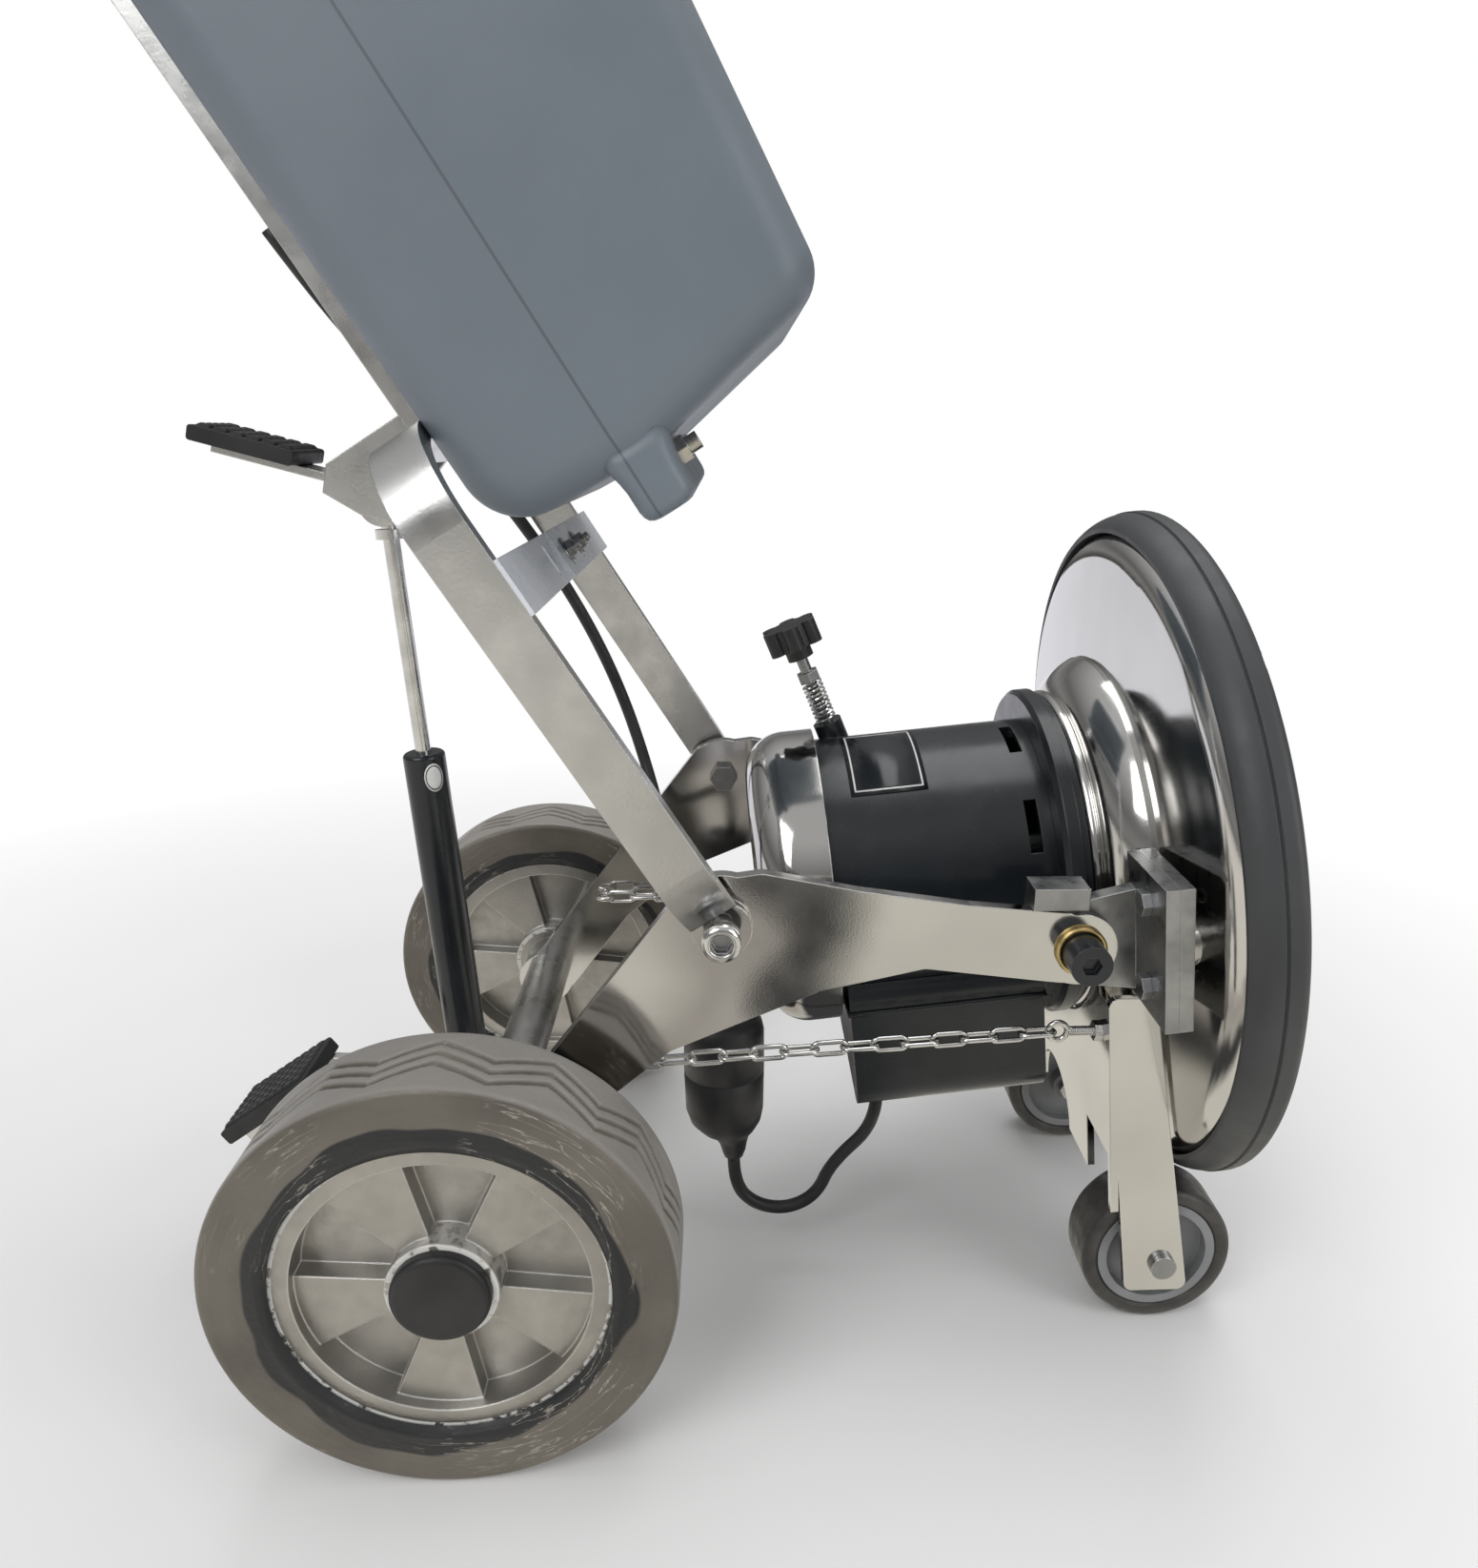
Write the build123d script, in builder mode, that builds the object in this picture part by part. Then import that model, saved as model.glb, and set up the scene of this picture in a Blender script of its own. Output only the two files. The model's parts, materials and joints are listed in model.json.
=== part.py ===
from build123d import *
from math import atan2, cos, degrees, hypot, pi, radians, sin, tan
import os

# Wheeled floor polisher, parked with its polishing head standing on edge.
# X points forward (the disc's side), Y to the machine's left, Z up. Millimetres, floor at Z = 0.

os.makedirs("parts", exist_ok=True)

RIGHT = -1
LEFT = 1

# Fits and gaps shared by all pieces
RUN_FIT = 0.05
SEAT_GAP = 0.3
WASHER_GAP = 1.0

# Big wheels and axle
WHEEL_R = 127.0
WHEEL_W = 60.0
WHEEL_Y = 198.7
TYRE_SHOULDER = 9.0
RIM_R = 91.0
RIM_LIP_R = 85.5
RIM_INSET = 5.0
WEB_T = 12.0
PAD_COUNT = 5
PAD_T = 36.0
PAD_TURN_DEG = 48.0
HUB_R = 30.5
HUB_BORE_R = 21.0
HUB_CAP_R = 27.0
HUB_CAP_T = 7.0
AXLE_R = 10.0
BEARING_W = 12.0
AXLE_TUBE_R = 17.0

# Side plates, seen from the side: offsets forward of the axle, heights above the floor
PLATE_OUT_Y = 147.5
PLATE_T = 8.0
PIVOT_DX = 149.6
PIVOT_Z = 305.2
PIVOT_LOBE_R = 30.0
HEAD_PIVOT_DX = 356.0
HEAD_PIVOT_Z = 288.0
HEAD_LOBE_R = 22.0
AXLE_LOBE_R = 22.0
SPACER_R = 17.0
PIVOT_BOLT_R = 6.0
HEAD_BOLT_R = 8.0

# Handle: U-shaped flat bar, stem and controls, leaning back from the pivot
LEAN_DEG = 57.5
BAR_W = 30.0
BAR_T = 10.0
BAR_Y = 159.0
BAR_BEND_R = 55.0
BAR_TOP = 308.0
BAR_TAIL = 15.0
STEM_W = 40.0
STEM_WALL = 3.0
BRACKET_T = 2.5
BRACKET_LOW = 198.0
BRACKET_HIGH = 230.0
BRACKET_LAP = 24.0
BRACKET_SLOT_W = 6.0
BRACKET_SLOT_L = 20.0
GRIP_BAR_R = 12.5
GRIP_BAR_ALONG = 1000.0
GRIP_BAR_HALF = 205.0
GRIP_R = 17.0
GRIP_L = 115.0
BOX_HALF_Y = 62.0
BOX_REAR = -38.0
BOX_FRONT = 46.0
BOX_LOW = 935.0
BOX_HIGH = 1048.0
BOX_FILLET = 12.0
LEVER_SHAFT_R = 4.0
LEVER_FWD = 34.0
LEVER_ALONG = 958.0
LEVER_T = 5.0
LEVER_TIP_FWD = 52.0
LEVER_TIP_ALONG = 1012.0
BUTTON_R = 9.0
BUTTON_OUT = 9.0
BUTTON_ALONG = 1012.0
GLAND_R = 11.0
GLAND_L = 24.0

# Solution tank, in the handle's frame: forward of the pivot line and along it
TANK_HALF_Y = 140.0
TANK_TOP = 640.0
TANK_LOW = 232.0
TANK_DEPTH_LOW = 209.0
TANK_DEPTH_TOP = 234.0
TANK_WALL = 4.0
TANK_EDGE_R = 22.0
KEEL_FWD = 92.0
KEEL_W = 24.0
KEEL_DROP = 24.0
KEEL_INSET = 5.0
VALVE_Y = -104.0
MOUTH_R = 45.0
MOUTH_FWD = 120.0
NECK_H = 16.0
NECK_WALL = 4.0
CAP_WALL = 4.0
CAP_H = 24.0

# Gas strut with its brackets
STRUT_FOOT_DX = -32.0
STRUT_FOOT_Z = 120.0
STRUT_TOP_FWD = -57.0
STRUT_TOP_ALONG = 296.0
STRUT_R = 13.5
STRUT_CYL_L = 245.0
STRUT_ROD_R = 5.0
STRUT_ROD_IN = 110.0
STRUT_PIN_R = 4.2
STRUT_EYE_PLAY = 2.6
STRUT_EYE_R = 14.0
STRUT_EYE_HALF = 11.0
FOOT_EYE_R = 11.0
FOOT_EYE_HALF = 8.0
FOOT_PIN_R = 5.0
LUG_T = 5.0
PEDAL_FWD = -68.0
PEDAL_ALONG = 318.0
PEDAL_SLOPE_DEG = 14.0
PEDAL_PIN_R = 4.0
PEDAL_BOSS_R = 9.0
PEDAL_STRIP_T = 5.0
PEDAL_STRIP_L = 76.0
PEDAL_PAD_L = 60.0
PEDAL_PAD_T = 9.0
PEDAL_PAD_HALF = 27.0
FOOT_PAD_DX = -168.0
FOOT_PAD_Z = 112.0
FOOT_PAD_SLOPE_DEG = 35.0
FOOT_PAD_L = 74.0
FOOT_PAD_T = 11.0
FOOT_PAD_HALF = 29.0
FOOT_ARM_T = 8.0

# Polishing head: axis tipped up from level, positions along the axis from the dome's rim
HEAD_TILT_DEG = 6.3
HEAD_DX = 421.3
HEAD_Z = 300.7
DOME_T = 3.0
DOME_RISE = 9.0
DOME_SKIRT = 20.0
DOME_BACK = -12.0
SHOULDER_W = 15.0
SHOULDER_L = 13.0
BUMPER_R = 223.4
BUMPER_T = 12.4
BUMPER_BACK = 2.0
BUMPER_FRONT = 33.0
BUMPER_LIP = 5.0
BUMPER_BULGE = 24.0
GROOVE = 18.0
HOUSING_R = 130.0
HOUSING_NECK_R = 110.0
HOUSING_BACK = -46.0
HOUSING_FRONT = -8.0
HOUSING_WALL = 6.0
CAVITY_R = 86.0
FLANGE_R = 112.0
FLANGE_BACK = -62.0
MOTOR_R = 92.0
MOTOR_WALL = 4.0
MOTOR_BACK = -208.0
VENT_COUNT = 8
VENT_L = 34.0
VENT_W = 8.0
CAP_BACK = -250.0
CAP_ROUND = 28.0
CAP_PROUD = 8.0
CAP_LAP = 6.0
CAP_T = 3.0
STATOR_BACK = -195.0
STATOR_FRONT = -95.0
ROTOR_R = 51.2
AIR_GAP = 0.6
SHAFT_R = 10.0
OUTPUT_R = 12.5
PAD_INSET = 16.0
PAD_BACK = 10.0
PAD_FRONT = 40.0
PAD_HUB_R = 46.0
PAD_CONE_R = 60.0
PAD_CONE_T = 20.0
PAD_BOARD_T = 14.0
PAD_EDGE_T = 8.0
PAD_BEVEL = 4.0

# Planetary gear set
GEAR_MODULE = 2.5
SUN_TEETH = 12
PLANET_TEETH = 24
RING_TEETH = SUN_TEETH + 2 * PLANET_TEETH
PLANET_COUNT = 3
GEAR_W = 16.0
GEAR_BACK = -38.0
ADDENDUM = 0.8
DEDENDUM = 1.1
TOOTH_SHARE = 0.36
PLANET_PIN_R = 5.0
CARRIER_T = 4.0
CARRIER_R = 62.0

# Pivot lugs and flange plates of the head
LUG_OUT_Y = 139.0
HEAD_LUG_T = 10.0
HEAD_LUG_R = 26.0
FLANGE_T = 8.0
FLANGE_FRONT = -15.0
FLANGE_IN_Y = 124.0
FLANGE_OUT_Y = 186.0
FLANGE_HALF_H = 43.0
FLANGE_BOSS_R = 14.0
FLANGE_BOLT_R = 4.0
FLANGE_BOLT_H = 26.0
FLANGE_BOLT_Y = 160.0
STOP_LOW_Z = 313.3
STOP_H = 13.0
STOP_BACK_DX = 326.0
STOP_FRONT_DX = 358.0

# Capacitor box under the motor
CAN_BACK = -198.0
CAN_FRONT = -72.0
CAN_HALF_Y = 84.0
CAN_LOW = 144.0
CAN_HIGH = 40.0
CAN_ROUND = 24.0

# Stand with casters
STAND_T = 5.0
WEB_BACK = -44.0
WEB_LOW = 205.0
WEB_HIGH = 56.0
WEB_ARCH_R = 62.0
LEG_TOP_Z = 246.0
LEG_TOP_DX = 398.0
LEG_TOP_W = 30.0
LEG_FOOT_W = 42.0
LEG_FOOT_Z = 30.0
CASTER_DX = 438.7
CASTER_R = 50.0
CASTER_W = 38.0
CASTER_HUB_R = 39.5
CASTER_BOLT_R = 5.0

# Safety chains
LINK_L = 25.0
LINK_W = 11.0
LINK_WIRE_R = 1.5
LINK_PITCH = 18.7
LINK_COUNT = 16
EYE_R = 6.0
EYE_WIRE_R = 1.8
EYE_LINK_REACH = 13.2
CHAIN_EYE_DX = 359.0
CHAIN_EYE_Y = 112.0
CHAIN_EYE_Z = 215.0
CHAIN_END_Y = 130.0
CHAIN_END_DROP = 10.0

# Head adjuster on top of the motor
ADJUST_DX = 226.0
ADJUST_Y = 25.0
ADJUST_Z = 369.0
ADJUST_LEAN_DEG = 23.0
ADJUST_SEAT_R = 10.0
ADJUST_SEAT_H = 12.0
ADJUST_ROD_R = 4.0
ADJUST_ROD_L = 68.0
SPRING_R = 6.6
SPRING_WIRE_R = 0.9
SPRING_TURNS = 9
SPRING_L = 30.0
ADJUST_NUT_R = 8.0
ADJUST_NUT_H = 7.0
KNOB_R = 20.0
KNOB_H = 16.0
KNOB_LOBES = 6

# Leads
LEAD_R = 4.5
PLUG_DX = 157.0
PLUG_Y = -45.0
PLUG_LOW_Z = 82.0
PLUG_HIGH_Z = 192.0
PLUG_R = 21.0

# Worked-out places
LEAN = radians(LEAN_DEG)
BOX_CORNER_FWD = BOX_REAR + BOX_FILLET
BOX_CORNER_ALONG = BOX_HIGH - BOX_FILLET
REAR_REACH = BOX_CORNER_ALONG * cos(LEAN) - BOX_CORNER_FWD * sin(LEAN) + BOX_FILLET - PIVOT_DX
FRONT_REACH = CASTER_DX + CASTER_R
AXLE_X = (REAR_REACH - FRONT_REACH) / 2

AXLE = (AXLE_X, WHEEL_R)
PIVOT = (AXLE_X + PIVOT_DX, PIVOT_Z)
HEAD_PIVOT = (AXLE_X + HEAD_PIVOT_DX, HEAD_PIVOT_Z)
CASTER = (AXLE_X + CASTER_DX, CASTER_R)
STRUT_FOOT = (AXLE_X + STRUT_FOOT_DX, STRUT_FOOT_Z)

HANDLE_UP = Vector(-cos(LEAN), 0, sin(LEAN))
HANDLE_FWD = Vector(sin(LEAN), 0, cos(LEAN))
PIVOT_POINT = Vector(PIVOT[0], 0, PIVOT[1])

HEAD_TILT = radians(HEAD_TILT_DEG)
HEAD_POINT = Vector(AXLE_X + HEAD_DX, 0, HEAD_Z)
HEAD_DIR = Vector(cos(HEAD_TILT), 0, sin(HEAD_TILT))
HEAD_UP = Vector(-sin(HEAD_TILT), 0, cos(HEAD_TILT))
HEAD_AXIS = Axis(HEAD_POINT, HEAD_DIR)

DOME_R = BUMPER_R - BUMPER_T
BUMPER_LIP_R = DOME_R - BUMPER_LIP
PAD_R = DOME_R - PAD_INSET

PLATE_IN_Y = PLATE_OUT_Y - PLATE_T
BAR_IN_Y = BAR_Y - BAR_T / 2
BAR_OUT_Y = BAR_Y + BAR_T / 2
STEM_FRONT = BAR_W / 2
LEG_OUT_Y = LUG_OUT_Y - HEAD_LUG_T
LEG_IN_Y = LEG_OUT_Y - STAND_T
CASTER_Y = LEG_IN_Y - CASTER_W / 2 - WASHER_GAP * 3


def save(builder, name):
    """Labels a finished sub-part and writes its STEP file."""
    builder.part.label = name
    export_step(builder.part, f"parts/{name}.step")


def side_plane(y):
    """Side view at a given Y: local x is forward, local y is up; extruding goes towards -Y."""
    return Plane(origin=(0, y, 0), x_dir=(1, 0, 0), z_dir=(0, -1, 0))


def round_plane(centre, y):
    """Side view centred on a point of the side view."""
    return Plane(origin=(centre[0], y, centre[1]), x_dir=(1, 0, 0), z_dir=(0, -1, 0))


def axle_section(centre):
    """Half section for turning about a Y axis: local x is Y, local y is the radius."""
    return Plane(origin=(centre[0], 0, centre[1]), x_dir=(0, 1, 0), z_dir=(1, 0, 0))


def cross_axis(centre):
    """The Y axis through a point of the side view."""
    return Axis((centre[0], 0, centre[1]), (0, 1, 0))


def handle_point(fwd, along, y=0.0):
    """A point of the handle's frame."""
    return PIVOT_POINT + HANDLE_FWD * fwd + HANDLE_UP * along + Vector(0, y, 0)


def handle_side(y):
    """Side view of the handle: local x is forward of the bar, local y runs along it."""
    return Plane(origin=handle_point(0, 0, y), x_dir=HANDLE_FWD, z_dir=(0, -1, 0))


def handle_plane(along, fwd=0.0):
    """Cross-section of the handle: local x is forward, local y is Y; extruding goes up the handle."""
    return Plane(origin=handle_point(fwd, along), x_dir=HANDLE_FWD, z_dir=HANDLE_UP)


def handle_face(fwd):
    """Front view of the handle: local x is Y, local y runs along it; extruding goes forward."""
    return Plane(origin=handle_point(fwd, 0), x_dir=(0, 1, 0), z_dir=HANDLE_FWD)


def head_section(y=0.0):
    """Side view of the head: local x runs along its axis, local y is up."""
    return Plane(origin=HEAD_POINT + Vector(0, y, 0), x_dir=HEAD_DIR, z_dir=(0, -1, 0))


def head_plane(along):
    """Cross-section of the head: local x is Y, local y is up; extruding goes forward."""
    return Plane(origin=HEAD_POINT + HEAD_DIR * along, x_dir=(0, 1, 0), z_dir=HEAD_DIR)


def turned(name, points, plane, axis):
    """A solid of revolution from a closed profile."""
    with BuildPart() as piece:
        with BuildSketch(plane):
            with BuildLine():
                Polyline(*points, close=True)
            make_face()
        revolve(axis=axis)
    save(piece, name)


# Side plates: one outline with lobes at the axle, the handle pivot and the head pivot
PLATE_OUTLINE = [
    (10.0, 170.0),
    (112.0, 306.0),
    (130.0, 330.0),
    (172.0, 336.0),
    (228.0, 325.0),
    (290.0, 316.0),
    (HEAD_PIVOT_DX, HEAD_PIVOT_Z + HEAD_LOBE_R),
    (HEAD_PIVOT_DX, HEAD_PIVOT_Z - HEAD_LOBE_R),
    (330.0, 269.0),
    (266.0, 277.0),
    (205.0, 263.0),
    (120.0, 226.0),
    (70.0, 184.0),
    (20.0, 117.0),
    (-18.0, 132.0),
]
PLATE_CORNER_R = 10.0
CHAIN_DX = sum(((LINK_COUNT - 1) * LINK_PITCH, 2 * EYE_LINK_REACH))
CHAIN_RUN = (CHAIN_DX ** 2 - CHAIN_END_DROP ** 2 - (CHAIN_END_Y - CHAIN_EYE_Y) ** 2) ** 0.5


def chain_front(side):
    """Centre of the eye on the head's stand."""
    return Vector(AXLE_X + CHAIN_EYE_DX, side * CHAIN_EYE_Y, CHAIN_EYE_Z)


def chain_back(side):
    """Centre of the eye on the side plate."""
    return Vector(AXLE_X + CHAIN_EYE_DX - CHAIN_RUN, side * CHAIN_END_Y, CHAIN_EYE_Z - CHAIN_END_DROP)


def side_plate(side, name):
    """A side plate with its spacer boss for the handle bar and its welded chain eye."""
    outer = side_plane(side * PLATE_OUT_Y)
    eye = chain_back(side)
    with BuildPart() as piece:
        with BuildSketch(outer):
            with BuildLine():
                Polyline(*[(AXLE_X + dx, z) for dx, z in PLATE_OUTLINE], close=True)
            make_face()
            fillet(vertices(), radius=PLATE_CORNER_R)
            with Locations(AXLE):
                Circle(AXLE_LOBE_R)
            with Locations(PIVOT):
                Circle(PIVOT_LOBE_R)
            with Locations(HEAD_PIVOT):
                Circle(HEAD_LOBE_R)
        extrude(amount=side * PLATE_T)
        with BuildSketch(round_plane(PIVOT, side * PLATE_OUT_Y)):
            Circle(SPACER_R)
        extrude(amount=-side * (BAR_IN_Y - PLATE_OUT_Y - RUN_FIT))
        with BuildSketch(outer):
            with Locations(PIVOT):
                Circle(PIVOT_BOLT_R + RUN_FIT)
            with Locations(HEAD_PIVOT):
                Circle(HEAD_BOLT_R + RUN_FIT)
            with Locations(AXLE):
                Circle(AXLE_R + RUN_FIT)
        extrude(amount=PLATE_T * 3, both=True, mode=Mode.SUBTRACT)
        with BuildSketch(Plane(origin=eye + Vector(EYE_R, 0, 0), x_dir=(1, 0, 0), z_dir=(0, 1, 0))):
            Circle(EYE_WIRE_R)
        revolve(axis=Axis(eye, (0, 0, 1)))
        with BuildSketch(round_plane((eye.X, eye.Z), side * (CHAIN_END_Y + EYE_R))):
            Circle(EYE_WIRE_R)
        extrude(amount=-side * (PLATE_IN_Y - CHAIN_END_Y - EYE_R))
    save(piece, name)


side_plate(RIGHT, "side_plate_right")
side_plate(LEFT, "side_plate_left")

# Axle tube weldment: tube between the plates, strut lugs and the foot pedal's arm
FOOT_PAD = (AXLE_X + FOOT_PAD_DX, FOOT_PAD_Z)
FOOT_SLOPE = radians(FOOT_PAD_SLOPE_DEG)
PAD_ALONG = (cos(FOOT_SLOPE), sin(FOOT_SLOPE))
PAD_NORMAL = (-sin(FOOT_SLOPE), cos(FOOT_SLOPE))


def on_foot_pad(along, above):
    """A side-view point of the foot pad: along its slope and above its middle plane."""
    x = FOOT_PAD[0] + along * PAD_ALONG[0] + above * PAD_NORMAL[0]
    z = FOOT_PAD[1] + along * PAD_ALONG[1] + above * PAD_NORMAL[1]
    return (x, z)


FOOT_LUG_IN = FOOT_EYE_HALF + SEAT_GAP
PAD_UNDER = -FOOT_PAD_T / 2
ARM_UNDER = PAD_UNDER - FOOT_ARM_T
ARM_ROOT_Z = WHEEL_R - AXLE_TUBE_R + FOOT_ARM_T / 2

with BuildPart() as axle_tube:
    with BuildSketch(round_plane(AXLE, PLATE_IN_Y)):
        Circle(AXLE_TUBE_R)
    extrude(amount=2 * PLATE_IN_Y)
    for lug_side in (RIGHT, LEFT):
        with BuildSketch(side_plane(lug_side * FOOT_LUG_IN)):
            with BuildLine():
                Polyline(
                    (AXLE[0], AXLE[1] + AXLE_TUBE_R - 1),
                    (STRUT_FOOT[0], STRUT_FOOT[1] + FOOT_EYE_R),
                    (STRUT_FOOT[0], STRUT_FOOT[1] - FOOT_EYE_R),
                    (AXLE[0], AXLE[1] - AXLE_TUBE_R + 1),
                    close=True,
                )
            make_face()
            with Locations(STRUT_FOOT):
                Circle(FOOT_EYE_R)
        extrude(amount=-lug_side * LUG_T)
    with BuildSketch(round_plane(STRUT_FOOT, FOOT_LUG_IN + LUG_T)):
        Circle(FOOT_PIN_R)
    extrude(amount=2 * (FOOT_LUG_IN + LUG_T))
    for arm_side in (RIGHT, LEFT):
        with BuildSketch(side_plane(arm_side * (FOOT_LUG_IN + LUG_T))):
            with BuildLine():
                Polyline(
                    (AXLE[0], ARM_ROOT_Z + FOOT_ARM_T),
                    on_foot_pad(FOOT_PAD_L / 2, PAD_UNDER),
                    on_foot_pad(-FOOT_PAD_L / 2 + FOOT_ARM_T, PAD_UNDER),
                    on_foot_pad(-FOOT_PAD_L / 2 + FOOT_ARM_T, ARM_UNDER),
                    on_foot_pad(FOOT_PAD_L / 3, ARM_UNDER - FOOT_ARM_T / 2),
                    (AXLE[0], ARM_ROOT_Z - FOOT_ARM_T),
                    close=True,
                )
            make_face()
        extrude(amount=-arm_side * FOOT_ARM_T)
    with BuildSketch(round_plane(AXLE, PLATE_IN_Y)):
        Circle(AXLE_R + SEAT_GAP)
    extrude(amount=2 * PLATE_IN_Y, mode=Mode.SUBTRACT)
save(axle_tube, "axle_tube")

with BuildPart() as foot_pedal_pad:
    with BuildSketch(side_plane(FOOT_PAD_HALF)):
        with BuildLine():
            Polyline(
                on_foot_pad(FOOT_PAD_L / 2, PAD_UNDER),
                on_foot_pad(FOOT_PAD_L / 2, -PAD_UNDER),
                on_foot_pad(-FOOT_PAD_L / 2, -PAD_UNDER),
                on_foot_pad(-FOOT_PAD_L / 2, PAD_UNDER),
                close=True,
            )
        make_face()
    extrude(amount=2 * FOOT_PAD_HALF)
    fillet(foot_pedal_pad.edges().filter_by(Axis.Y), radius=2)
save(foot_pedal_pad, "foot_pedal_pad")

# Axle, bearings and wheels
RIM_HALF = WHEEL_W / 2 - RIM_INSET
BEARING_SEAT = RIM_HALF - BEARING_W - 2
AXLE_HALF = WHEEL_Y + BEARING_SEAT + BEARING_W
BEARING_OUT_R = HUB_BORE_R - RUN_FIT

with BuildPart() as axle:
    with BuildSketch(round_plane(AXLE, AXLE_HALF)):
        Circle(AXLE_R)
    extrude(amount=2 * AXLE_HALF)
    chamfer(axle.edges().filter_by(GeomType.CIRCLE), length=1)
save(axle, "axle")

with BuildPart() as wheel_bearings:
    for wheel_side in (RIGHT, LEFT):
        for seat in (-BEARING_SEAT - BEARING_W, BEARING_SEAT):
            with BuildSketch(round_plane(AXLE, wheel_side * WHEEL_Y + seat + BEARING_W)):
                Circle(BEARING_OUT_R)
                Circle(AXLE_R + RUN_FIT, mode=Mode.SUBTRACT)
            extrude(amount=BEARING_W)
save(wheel_bearings, "wheel_bearings")


def wheel(side, suffix):
    """Cast rim with raised pads, rubber tyre and hub cap of one big wheel."""
    mid = side * WHEEL_Y
    lip = RIM_R - RIM_LIP_R
    with BuildPart() as rim:
        with BuildSketch(axle_section(AXLE)):
            with Locations((mid, (RIM_R + RIM_LIP_R - lip) / 2)):
                Rectangle(2 * RIM_HALF, 2 * lip)
            with Locations((mid, (RIM_R + HUB_BORE_R) / 2 - lip)):
                Rectangle(WEB_T, RIM_R - HUB_BORE_R - lip)
            with Locations((mid, (HUB_R + HUB_BORE_R) / 2)):
                Rectangle(2 * RIM_HALF, HUB_R - HUB_BORE_R)
        revolve(axis=cross_axis(AXLE))
        pad_in = HUB_R - 1
        pad_out = RIM_R - 1.5 * lip
        with BuildSketch(round_plane(AXLE, mid)):
            with PolarLocations(0, PAD_COUNT, start_angle=PAD_TURN_DEG):
                Polygon(
                    (pad_in, pad_in * tan(radians(18))),
                    (pad_in, -pad_in * tan(radians(18))),
                    (pad_out, -pad_out * tan(radians(17))),
                    (pad_out, pad_out * tan(radians(17))),
                    align=None,
                )
            Circle(pad_out, mode=Mode.INTERSECT)
        extrude(amount=PAD_T / 2, both=True)
        with BuildSketch(round_plane(AXLE, mid)):
            Circle(HUB_BORE_R)
        extrude(amount=WHEEL_W, both=True, mode=Mode.SUBTRACT)
    save(rim, f"wheel_rim_{suffix}")
    with BuildPart() as tyre:
        with BuildSketch(axle_section(AXLE)):
            with Locations((mid, (WHEEL_R + RIM_R) / 2)):
                Rectangle(WHEEL_W, WHEEL_R - RIM_R)
            fillet(vertices().group_by(Axis.Z)[-1], radius=TYRE_SHOULDER)
        revolve(axis=cross_axis(AXLE))
    save(tyre, f"tyre_{suffix}")
    with BuildPart() as hub_cap:
        with BuildSketch(round_plane(AXLE, mid + side * RIM_HALF)):
            Circle(HUB_CAP_R)
        extrude(amount=-side * HUB_CAP_T)
        outer_edges = hub_cap.edges().filter_by(GeomType.CIRCLE).sort_by(Axis.Y)
        fillet(outer_edges[-1] if side > 0 else outer_edges[0], radius=HUB_CAP_T / 2)
    save(hub_cap, f"hub_cap_{suffix}")


wheel(RIGHT, "right")
wheel(LEFT, "left")

# Bolts of the two pivots
BOLT_HEAD_R = 11.0
BOLT_HEAD_T = 8.0
NUT_T = 9.0
HEAD_BOLT_HEAD_R = 12.0
HEAD_BOLT_HEAD_L = 22.0
SOCKET_R = 6.0
SOCKET_DEPTH = 9.0


def pivot_bolts(name, centre, shank_r, outer_y, inner_y, head_r, head_l, nut_r, nut_l):
    """A bolt on each side: head outside, shank through, nut inside."""
    with BuildPart() as bolts:
        for side in (RIGHT, LEFT):
            with BuildSketch(round_plane(centre, side * outer_y)):
                Circle(head_r)
            extrude(amount=-side * head_l)
            with BuildSketch(round_plane(centre, side * (outer_y + head_l))):
                RegularPolygon(SOCKET_R, 6)
            extrude(amount=side * SOCKET_DEPTH / 2, mode=Mode.SUBTRACT)
            with BuildSketch(round_plane(centre, side * outer_y)):
                Circle(shank_r)
            extrude(amount=side * (outer_y - inner_y + nut_l))
            with BuildSketch(round_plane(centre, side * inner_y)):
                RegularPolygon(nut_r, 6)
            extrude(amount=side * nut_l)
    save(bolts, name)


pivot_bolts(
    "handle_pivot_bolts",
    PIVOT,
    PIVOT_BOLT_R,
    BAR_OUT_Y + RUN_FIT,
    PLATE_IN_Y,
    BOLT_HEAD_R,
    BOLT_HEAD_T,
    BOLT_HEAD_R,
    NUT_T,
)
pivot_bolts(
    "head_pivot_bolts",
    HEAD_PIVOT,
    HEAD_BOLT_R,
    PLATE_OUT_Y,
    LUG_OUT_Y - HEAD_LUG_T - RUN_FIT,
    HEAD_BOLT_HEAD_R,
    HEAD_BOLT_HEAD_L,
    HEAD_BOLT_R * 1.4,
    2.0,
)

# Head: pivot lugs welded to flange plates
LUG_FLANGE_BACK = FLANGE_FRONT - 2 * FLANGE_T
FLANGE_MID_Y = (FLANGE_IN_Y + FLANGE_OUT_Y) / 2
FLANGE_W = FLANGE_OUT_Y - FLANGE_IN_Y
STOP_OUT_Y = PLATE_OUT_Y + 2.0
STOP_MID = AXLE_X + (STOP_BACK_DX + STOP_FRONT_DX) / 2
FLANGE_BOLT_SPOTS = [(FLANGE_BOLT_Y, FLANGE_BOLT_H), (FLANGE_BOLT_Y, -FLANGE_BOLT_H)]
lug_root = HEAD_POINT + HEAD_DIR * LUG_FLANGE_BACK
lug_top = lug_root + HEAD_UP * (FLANGE_HALF_H - 18)
lug_low = lug_root - HEAD_UP * (FLANGE_HALF_H - 4)

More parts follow.
